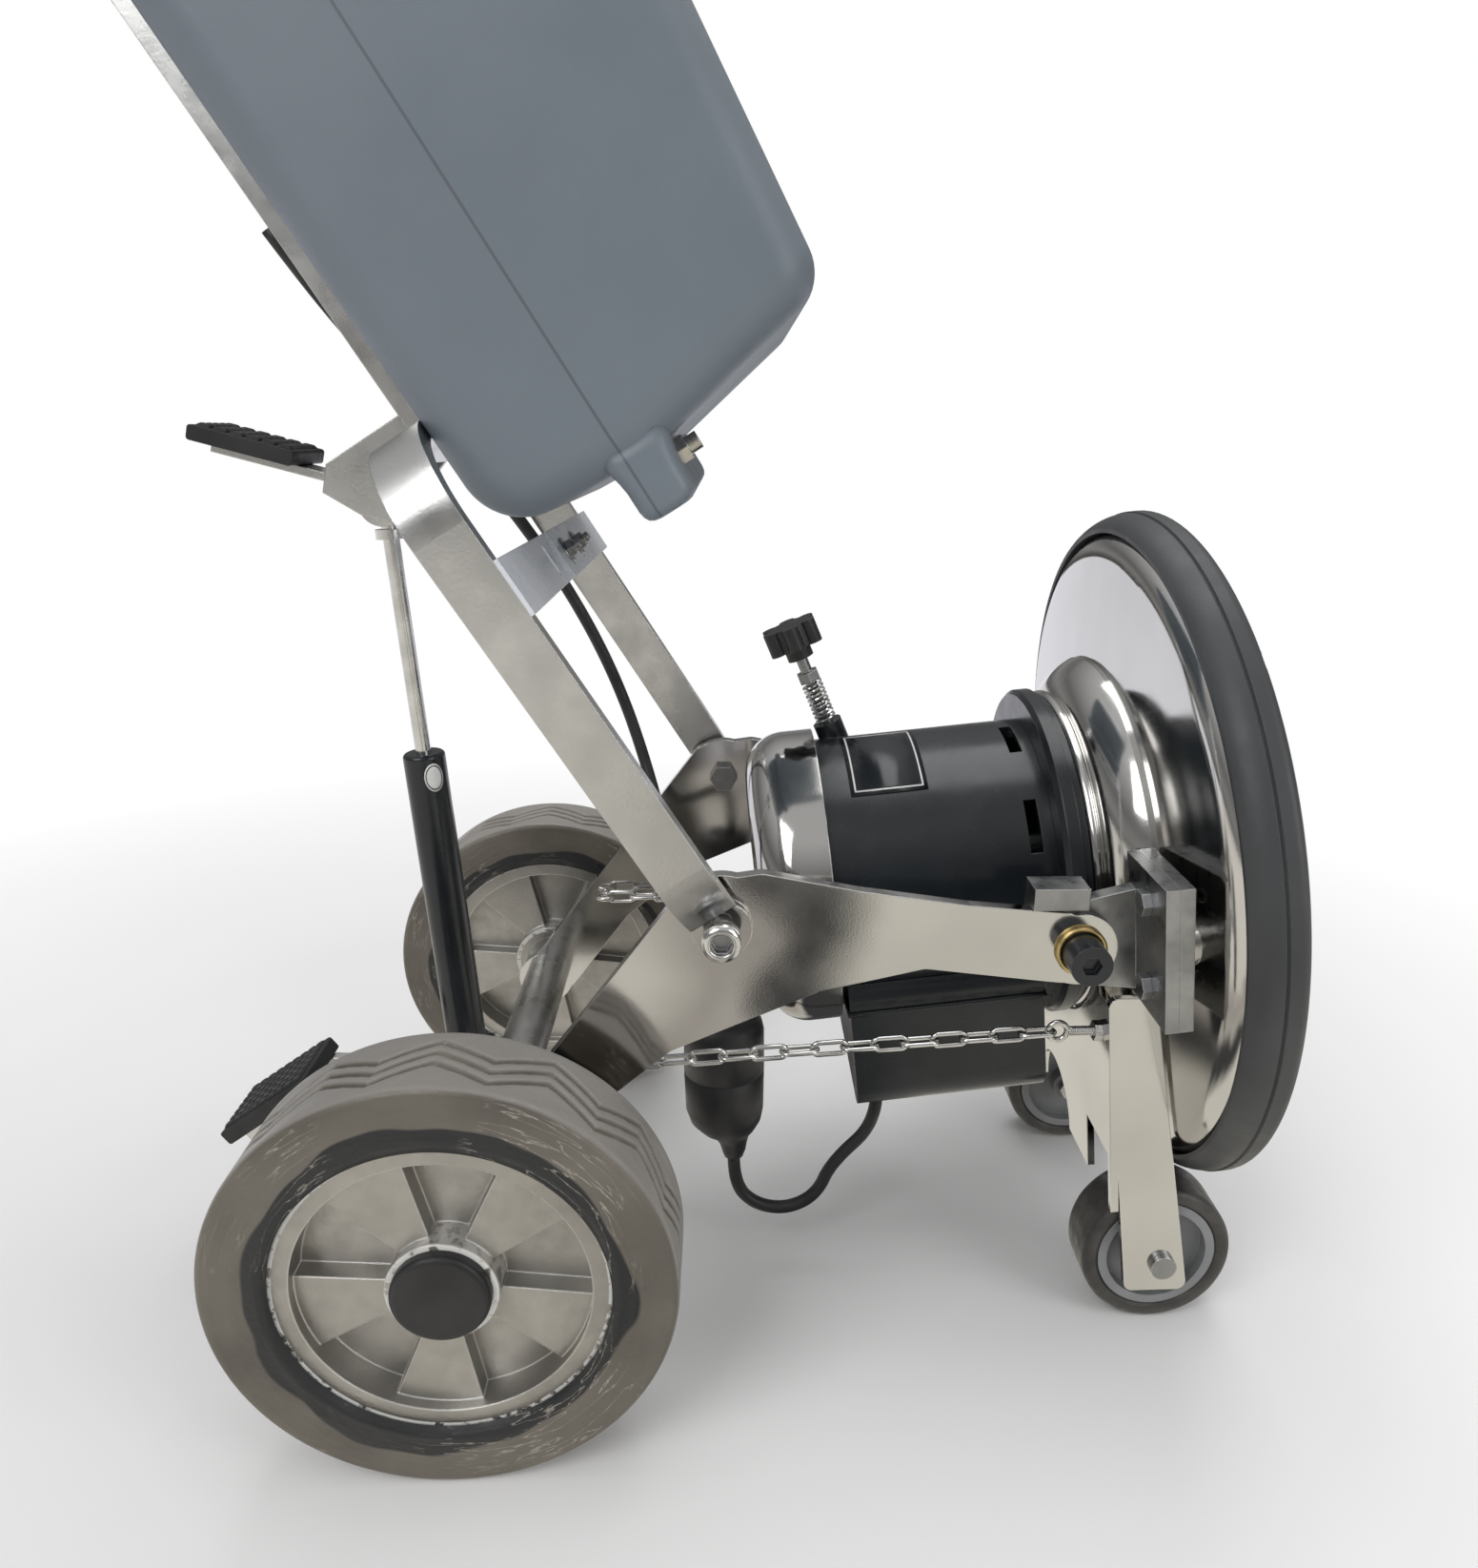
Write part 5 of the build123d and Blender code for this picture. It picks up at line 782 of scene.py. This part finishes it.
CAN_ENTRY = head_at(-0.182, -0.045, -0.1443)
ENTRY_RUN = 0.030
LEAD_HEADINGS = ((0, 0.024), (40, 0.024), (80, 0.024), (120, 0.024), (160, 0.028))
motor_route = [PLUG + Vector((0, 0, 0.0817))]
for degrees, reach in LEAD_HEADINGS:
    heading = math.radians(degrees)
    motor_route.append(motor_route[-1] + Vector((math.sin(heading), 0, -math.cos(heading))) * reach)
motor_route.append(CAN_ENTRY - HEAD_UP * ENTRY_RUN)
motor_route.append(CAN_ENTRY)
lead("motor_lead_line", "motor_lead", motor_route)

# Big tyres with a zigzag tread
TYRE_HALF = 0.030
TYRE_SEAT = 0.091
WHEEL_Y = 0.1987
AROUND = 468
SHOULDER = 0.0045
SHOULDER_R = WHEEL_R - SHOULDER
WALL_STEPS = 6
SHOULDER_STEPS = 5
TREAD_STEPS = 52
TREAD_WAVES = 13
TREAD_SWING = 0.0075
TREAD_LINES = (-0.0105, -0.0005, 0.0095)
GROOVE_HALF = 0.0024
GROOVE_DEPTH = 0.0030


def zigzag(x):
    """A triangle wave between -1 and 1."""
    return abs((x % 1.0) * 4 - 2) - 1


def groove_at(y, share):
    """Depth of the tread's grooves at a place across the tyre and a share of its turn."""
    wave = zigzag(share * TREAD_WAVES) * TREAD_SWING
    inside = max(1.0 - abs(y - line - wave) / GROOVE_HALF for line in TREAD_LINES)
    return min(max(inside, 0.0) * 2.0, 1.0) * GROOVE_DEPTH


# A point of the tyre's profile: across, radius, and 1 where the tread is cut
wall = []
for k in range(WALL_STEPS + 1):
    wall.append((-TYRE_HALF, TYRE_SEAT + (SHOULDER_R - TYRE_SEAT) * k / WALL_STEPS, 0))
for k in range(1, SHOULDER_STEPS + 1):
    a = math.pi / 2 * k / SHOULDER_STEPS
    wall.append((
        -TYRE_HALF + SHOULDER * (1 - math.cos(a)),
        SHOULDER_R + SHOULDER * math.sin(a),
        1 if k == SHOULDER_STEPS else 0,
    ))
profile = list(wall)
for k in range(1, TREAD_STEPS):
    profile.append((-TYRE_HALF + SHOULDER + 2 * (TYRE_HALF - SHOULDER) * k / TREAD_STEPS, WHEEL_R, 1))
profile += [(-y, r, cut) for y, r, cut in reversed(wall)]
for side, suffix in RIGHT_LEFT:
    edit = bmesh.new()
    rings = []
    for s, a in enumerate(turns(AROUND)):
        ring = []
        for y, r, cut in profile:
            deep = r - groove_at(y, s / AROUND) if cut else r
            place = (AXLE_X + deep * math.sin(a), side * WHEEL_Y + y, WHEEL_R + deep * math.cos(a))
            ring.append(edit.verts.new(place))
        rings.append(ring)
    join(edit, rings, closed=True)
    tread = piece_from(f"tread_{suffix}", edit, TYRE)
    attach(tread, f"wheel_{suffix}")
    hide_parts(f"tyre_{suffix}")

# Nuts on the cross bracket
BRACKET_FACE = 0.020
BRACKET_ALONG = 0.214
NUT = [
    (-SINK, 0, 0), (-SINK, 0.0085, 0), (0.0010, 0.0085, 0), (0.0014, 0.0080, 0), (0.0014, 0.0050, 1),
    (0.0056, 0.0050, 1), (0.0062, 0.0046, 0), (0.0062, 0.0030, 0), (0.0094, 0.0030, 0), (0.0100, 0.0024, 0),
    (0.0100, 0, 0),
]
nuts = bmesh.new()
for y in (0.0, 0.048):
    turned(nuts, handle_at(BRACKET_FACE, BRACKET_ALONG, y), FWD, UP, NUT)
dress("bracket_nuts", nuts, ZINC, "handle")

# Brass rings at the head's pivots
RING_Y = 0.1477
RING_SIDES = 48
RING = [
    (0.0, 0.0122, 0), (0.0, 0.0142, 0), (0.0008, 0.0150, 0), (0.0026, 0.0150, 0), (0.0034, 0.0142, 0),
    (0.0034, 0.0122, 0), (0.0, 0.0122, 0),
]
brass_rings = bmesh.new()
for side in (-1, 1):
    turned(brass_rings, HEAD_PIVOT + SIDE * (side * RING_Y), SIDE * side, HEAD_UP, RING, RING_SIDES)
dress("pivot_rings", brass_rings, BRASS, "frame", True)

# Studs on the two pedal pads: a layer is a share of the height and half a width as a share of the pitch
STUD_H = 0.0018
STUD_FOOT = 0.42
STUD_LAYERS = ((0.4, 0.40), (1.0, 0.26))
SQUARE = ((-1, -1), (1, -1), (1, 1), (-1, 1))


def studs(edit, centre, along, normal, counts, pitch):
    """A grid of blunt studs on a pad's top face."""
    for i in range(counts[0]):
        for j in range(counts[1]):
            out = along * ((i - (counts[0] - 1) / 2) * pitch)
            middle = centre + out + SIDE * ((j - (counts[1] - 1) / 2) * pitch)
            levels = [(-SINK, STUD_FOOT * pitch)]
            levels += [(share * STUD_H, half * pitch) for share, half in STUD_LAYERS]
            layers = []
            for up, half in levels:
                spot = middle + normal * up
                corners = [spot + along * (p * half) + SIDE * (q * half) for p, q in SQUARE]
                layers.append([edit.verts.new(corner) for corner in corners])
            join(edit, layers, capped=True)


FOOT_SLOPE = math.radians(35)
FOOT_PITCH = 0.0076
FOOT_COUNTS = (9, 7)
FOOT_PAD = Vector((AXLE_X - 0.168, 0, 0.112))
FOOT_HALF_T = 0.0055
foot_along = Vector((math.cos(FOOT_SLOPE), 0, math.sin(FOOT_SLOPE)))
foot_up = Vector((-math.sin(FOOT_SLOPE), 0, math.cos(FOOT_SLOPE)))
foot_top = FOOT_PAD + foot_up * FOOT_HALF_T
foot_studs = bmesh.new()
studs(foot_studs, foot_top, foot_along, foot_up, FOOT_COUNTS, FOOT_PITCH)
dress("foot_pad_studs", foot_studs, RUBBER, "frame")

PEDAL_SLOPE = math.radians(14)
PEDAL_PITCH = 0.0092
PEDAL_COUNTS = (6, 5)
PEDAL_PIN = handle_at(-0.068, 0.318)
PEDAL_REACH = 0.055
PEDAL_RISE = 0.0115
pedal_back = Vector((-math.cos(PEDAL_SLOPE), 0, math.sin(PEDAL_SLOPE)))
pedal_up = Vector((math.sin(PEDAL_SLOPE), 0, math.cos(PEDAL_SLOPE)))
pedal_top = PEDAL_PIN + pedal_back * PEDAL_REACH + pedal_up * PEDAL_RISE
pedal_studs = bmesh.new()
studs(pedal_studs, pedal_top, pedal_back, pedal_up, PEDAL_COUNTS, PEDAL_PITCH)
dress("release_pad_studs", pedal_studs, RUBBER, "release_pedal")

# Bare plate with a border on the motor
PLATE_BACK, PLATE_FRONT = -0.184, -0.135
PLATE_START, PLATE_END = math.radians(-5), math.radians(39)
PLATE_LOW, PLATE_HIGH = 0.0918, 0.0928
BORDER_LOW, BORDER_HIGH = 0.0926, 0.09295
BORDER, INSET = 0.0011, 0.0025


def on_motor(along, turn_here, r):
    """A place on the motor: along its axis and round from the top towards the right."""
    return HEAD + HEAD_DIR * along + (HEAD_UP * math.cos(turn_here) - SIDE * math.sin(turn_here)) * r


def strip(edit, heights, ends, turn_ends, steps=14):
    """A thin curved strip on the motor, between two radii, two places along and two turns."""
    low, high = heights
    first, last = ends
    corners = ((first, low), (last, low), (last, high), (first, high))
    rows = []
    for n in range(steps + 1):
        turn_here = turn_ends[0] + (turn_ends[1] - turn_ends[0]) * n / steps
        rows.append([edit.verts.new(on_motor(x, turn_here, r)) for x, r in corners])
    join(edit, rows, capped=True)


plate = bmesh.new()
strip(plate, (PLATE_LOW, PLATE_HIGH), (PLATE_BACK, PLATE_FRONT), (PLATE_START, PLATE_END))
dress("motor_plate", plate, PAINT, "head", True)
line_turn = BORDER / PLATE_HIGH
inner_start = PLATE_START + INSET / PLATE_HIGH
inner_end = PLATE_END - INSET / PLATE_HIGH
inner_back, inner_front = PLATE_BACK + INSET, PLATE_FRONT - INSET
border = bmesh.new()
for first in (inner_back, inner_front - BORDER):
    strip(border, (BORDER_LOW, BORDER_HIGH), (first, first + BORDER), (inner_start, inner_end))
for start in (inner_start, inner_end - line_turn):
    strip(border, (BORDER_LOW, BORDER_HIGH), (inner_back, inner_front), (start, start + line_turn), 2)
dress("motor_plate_border", border, LABEL, "head", True)

# Plain oval label on the strut
STRUT_FOOT = Vector((AXLE_X - 0.032, 0, 0.120))
STRUT_DIR = (handle_at(-0.057, 0.296) - STRUT_FOOT).normalized()
STRUT_X = SIDE.cross(STRUT_DIR)
LABEL_TURN = math.radians(35)
LABEL_HALF_TURN = math.radians(27)
LABEL_ALONG = 0.230
LABEL_HALF_ALONG = 0.0095
LABEL_R = 0.01375
LABEL_UNDER_R = 0.0133
LINE_R = 0.01385
LINE_UNDER_R = 0.0136
OVAL_SIDES = 40


def oval(edit, bands, closed):
    """An oval form on the strut: bands of its share of the label's size and its radius, joined in turn."""
    rings = []
    for share, radius in bands:
        ring = []
        for a in turns(OVAL_SIDES):
            turn_here = LABEL_TURN + LABEL_HALF_TURN * share * math.cos(a)
            out = STRUT_X * math.sin(turn_here) - SIDE * math.cos(turn_here)
            along = LABEL_ALONG + LABEL_HALF_ALONG * share * math.sin(a)
            ring.append(edit.verts.new(STRUT_FOOT + STRUT_DIR * along + out * radius))
        rings.append(ring)
    join(edit, rings, closed)
    bmesh.ops.remove_doubles(edit, verts=edit.verts, dist=SAME_PLACE)


sticker = bmesh.new()
top_bands = [(share, LABEL_R) for share in (0.0, 0.55, 1.0)]
under_bands = [(share, LABEL_UNDER_R) for share in (1.0, 0.55, 0.0)]
oval(sticker, top_bands + under_bands, False)
dress("strut_label", sticker, LABEL, "strut_cylinder", True)
label_line = bmesh.new()
oval(label_line, [(0.80, LINE_R), (0.88, LINE_R), (0.88, LINE_UNDER_R), (0.80, LINE_UNDER_R)], True)
dress("strut_label_line", label_line, PLASTIC, "strut_cylinder", True)

# Ribs on the grips
GRIP_ALONG = 1.0
GRIP_R = 0.0170
RIB_R = 0.0010
RIB_COUNT = 13
RIB_FIRST_Y = 0.102
RIB_PITCH = 0.0078
RIB_STEPS = 8
RIB_SIDES = 32
RIB = []
for k in range(RIB_STEPS + 1):
    a = 2 * math.pi * k / RIB_STEPS
    RIB.append((RIB_R * math.cos(a), GRIP_R + RIB_R * math.sin(a), 0))
for side, suffix in RIGHT_LEFT:
    ribs = bmesh.new()
    for k in range(RIB_COUNT):
        rib_at = handle_at(0, GRIP_ALONG, side * (RIB_FIRST_Y + RIB_PITCH * k))
        turned(ribs, rib_at, SIDE, UP, RIB, RIB_SIDES)
    dress(f"grip_ribs_{suffix}", ribs, RUBBER, "handle", True)

# Domed heads on the handle's pivot bolts
DOME_Y = 0.1720
DOME = [
    (-0.0050, 0.0111, 0), (-0.0010, 0.0114, 0), (0.0008, 0.0106, 0), (0.0019, 0.0090, 0), (0.0024, 0.0072, 0),
    (0.0020, 0.0064, 0), (-0.0004, 0.0062, 0), (-0.0050, 0.0111, 0),
]
domes = bmesh.new()
for side in (-1, 1):
    turned(domes, PIVOT + SIDE * (side * DOME_Y), SIDE * side, UP, DOME, RING_SIDES)
dress("pivot_bolt_domes", domes, CHAIN, "frame", True)

# Threaded ends with nuts on the chain eyes
THREADS = 14
THREAD_PITCH = 0.0011
THREAD_CREST = 0.0032
THREAD_ROOT = 0.0027
EYE_BOLT_X = AXLE_X + 0.3656
EYE_BOLT = [(0.0, 0, 0), (0.0, 0.0028, 0)]
for k in range(THREADS):
    EYE_BOLT.append((0.0006 + THREAD_PITCH * k, THREAD_CREST, 0))
    EYE_BOLT.append((0.0011 + THREAD_PITCH * k, THREAD_ROOT, 0))
EYE_BOLT += [
    (0.0158, THREAD_ROOT, 0), (0.0158, 0.0056, 1), (0.0208, 0.0056, 1), (0.0212, 0.0052, 0), (0.0212, 0, 0),
]
eye_nuts = bmesh.new()
for side in (-1, 1):
    turned(eye_nuts, Vector((EYE_BOLT_X, side * EYE_Y, EYE_Z)), AHEAD, LIFT, EYE_BOLT)
dress("chain_eye_nuts", eye_nuts, CHAIN, "head")

# Lead connector: moulded body with a joint line and a tapering tail, as height, radius and middle
BODY_SIDES = 40
BODY_FLAT = 0.94
BODY = [
    (0.1922, 0.0000, 0.1265), (0.1922, 0.0200, 0.1265), (0.1885, 0.0255, 0.1265), (0.1820, 0.0272, 0.1265),
    (0.1520, 0.0275, 0.1265), (0.1512, 0.0266, 0.1265), (0.1502, 0.0266, 0.1265), (0.1494, 0.0275, 0.1265),
    (0.1220, 0.0268, 0.1268), (0.1130, 0.0246, 0.1275), (0.1050, 0.0190, 0.1290), (0.0995, 0.0128, 0.1312),
    (0.0930, 0.0098, 0.1327), (0.0870, 0.0085, 0.1331), (0.0818, 0.0068, 0.1331), (0.0818, 0.0000, 0.1331),
]
connector = bmesh.new()
rows = []
for z, r, x in BODY:
    rows.append(circle(connector, Vector((x, PLUG.y, z)), AHEAD, SIDE * BODY_FLAT, r, BODY_SIDES))
join(connector, rows)
bmesh.ops.remove_doubles(connector, verts=connector.verts, dist=SAME_PLACE)
body = piece_from("connector_body", connector, PLASTIC)
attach(body, "frame")
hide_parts("lead_connector")

# Lid rim round the capacitor box
RIM_UP = -0.067
RIM_R = 0.0018
RIM_STEPS = 12
RIM_SIDES = 8
RIM_BACK, RIM_FRONT = -0.1985, -0.0715
RIM_HALF_Y = 0.0845
corners = [
    (RIM_BACK, -RIM_HALF_Y), (RIM_FRONT, -RIM_HALF_Y), (RIM_FRONT, RIM_HALF_Y), (RIM_BACK, RIM_HALF_Y),
]
loop = []
for (x0, y0), (x1, y1) in zip(corners, corners[1:] + corners[:1]):
    for k in range(RIM_STEPS):
        share = k / RIM_STEPS
        loop.append(head_at(x0 + (x1 - x0) * share, y0 + (y1 - y0) * share, RIM_UP))
lid = bmesh.new()
tube_loop(lid, loop, RIM_R, RIM_SIDES)
dress("capacitor_lid_rim", lid, PAINT, "head", True)

# Nylon tufts on the pad driver's face
PAD_FACE = 0.040
TUFT_FIRST_R = 0.054
TUFT_RINGS = 17
TUFT_STEP = 0.0082
TUFT_H = 0.0040
TUFT_FOOT_R = 0.0024
TUFT_TIP_R = 0.0031
TUFT_SIDES = 6
tufts = bmesh.new()
for k in range(TUFT_RINGS):
    reach = TUFT_FIRST_R + TUFT_STEP * k
    count = int(2 * math.pi * reach / TUFT_STEP)
    for a in turns(count, math.pi / count * (k % 2)):
        out = HEAD_UP * math.cos(a) + SIDE * math.sin(a)
        across = SIDE * math.cos(a) - HEAD_UP * math.sin(a)
        foot = head_at(PAD_FACE - SINK, 0, 0) + out * reach
        tip = head_at(PAD_FACE + TUFT_H, 0, 0) + out * reach
        layers = [
            circle(tufts, foot, out, across, TUFT_FOOT_R, TUFT_SIDES),
            circle(tufts, tip, out, across, TUFT_TIP_R, TUFT_SIDES),
        ]
        join(tufts, layers, capped=True)
dress("pad_tufts", tufts, BOARD, "pad")

# Lock ring in the middle of the pad driver, with six screw heads
LOCK_FOOT = PAD_FACE - SINK
LOCK_RING = [
    (LOCK_FOOT, 0.0180, 0), (0.0425, 0.0180, 0), (0.0435, 0.0190, 0), (0.0435, 0.0390, 0),
    (0.0425, 0.0420, 0), (LOCK_FOOT, 0.0440, 0), (LOCK_FOOT, 0.0180, 0),
]
LOCK_SIDES = 64
SCREW_COUNT = 6
SCREW_SIDES = 24
SCREW_FACE = 0.0430
SCREW_RING_R = 0.0290
SCREW = [(0.0, 0, 0), (0.0, 0.0042, 0), (0.0016, 0.0042, 0), (0.0022, 0.0036, 0), (0.0022, 0, 0)]
lock_ring = bmesh.new()
turned(lock_ring, HEAD, HEAD_DIR, HEAD_UP, LOCK_RING, LOCK_SIDES)
for a in turns(SCREW_COUNT):
    spot = head_at(SCREW_FACE, SCREW_RING_R * math.sin(a), SCREW_RING_R * math.cos(a))
    turned(lock_ring, spot, HEAD_DIR, HEAD_UP, SCREW, SCREW_SIDES)
dress("pad_lock_ring", lock_ring, PLASTIC, "pad")

# Rounded keel under the tank: a level is its place along the handle and how far it grows
KEEL_MID = 0.1005
KEEL_HALF_W = 0.0160
KEEL_HALF_Y = 0.1356
KEEL_BEND = 0.0085
KEEL_LEVELS = [
    (0.2420, 0.0045), (0.2340, 0.0022), (0.2280, 0.0008), (0.2220, 0.0), (0.2110, 0.0), (0.2075, -0.0006),
    (0.2050, -0.0020), (0.2035, -0.0042), (0.2028, -0.0070),
]
CORNER_STEPS = 8
QUARTERS = ((1, 1), (-1, 1), (-1, -1), (1, -1))
keel = bmesh.new()
rows = []
for along, grow in KEEL_LEVELS:
    ring = []
    half_w = KEEL_HALF_W + grow
    half_y = KEEL_HALF_Y + min(grow, 0.0)
    bend = min(KEEL_BEND, half_w)
    for quarter, (p, q) in enumerate(QUARTERS):
        for k in range(CORNER_STEPS + 1):
            a = math.pi / 2 * (quarter + k / CORNER_STEPS)
            fwd = KEEL_MID + p * (half_w - bend) + bend * math.cos(a)
            y = q * (half_y - bend) + bend * math.sin(a)
            ring.append(keel.verts.new(handle_at(fwd, along, y)))
    rows.append(ring)
join(keel, rows, capped=True)
dress("tank_keel", keel, TANK, "handle", True)
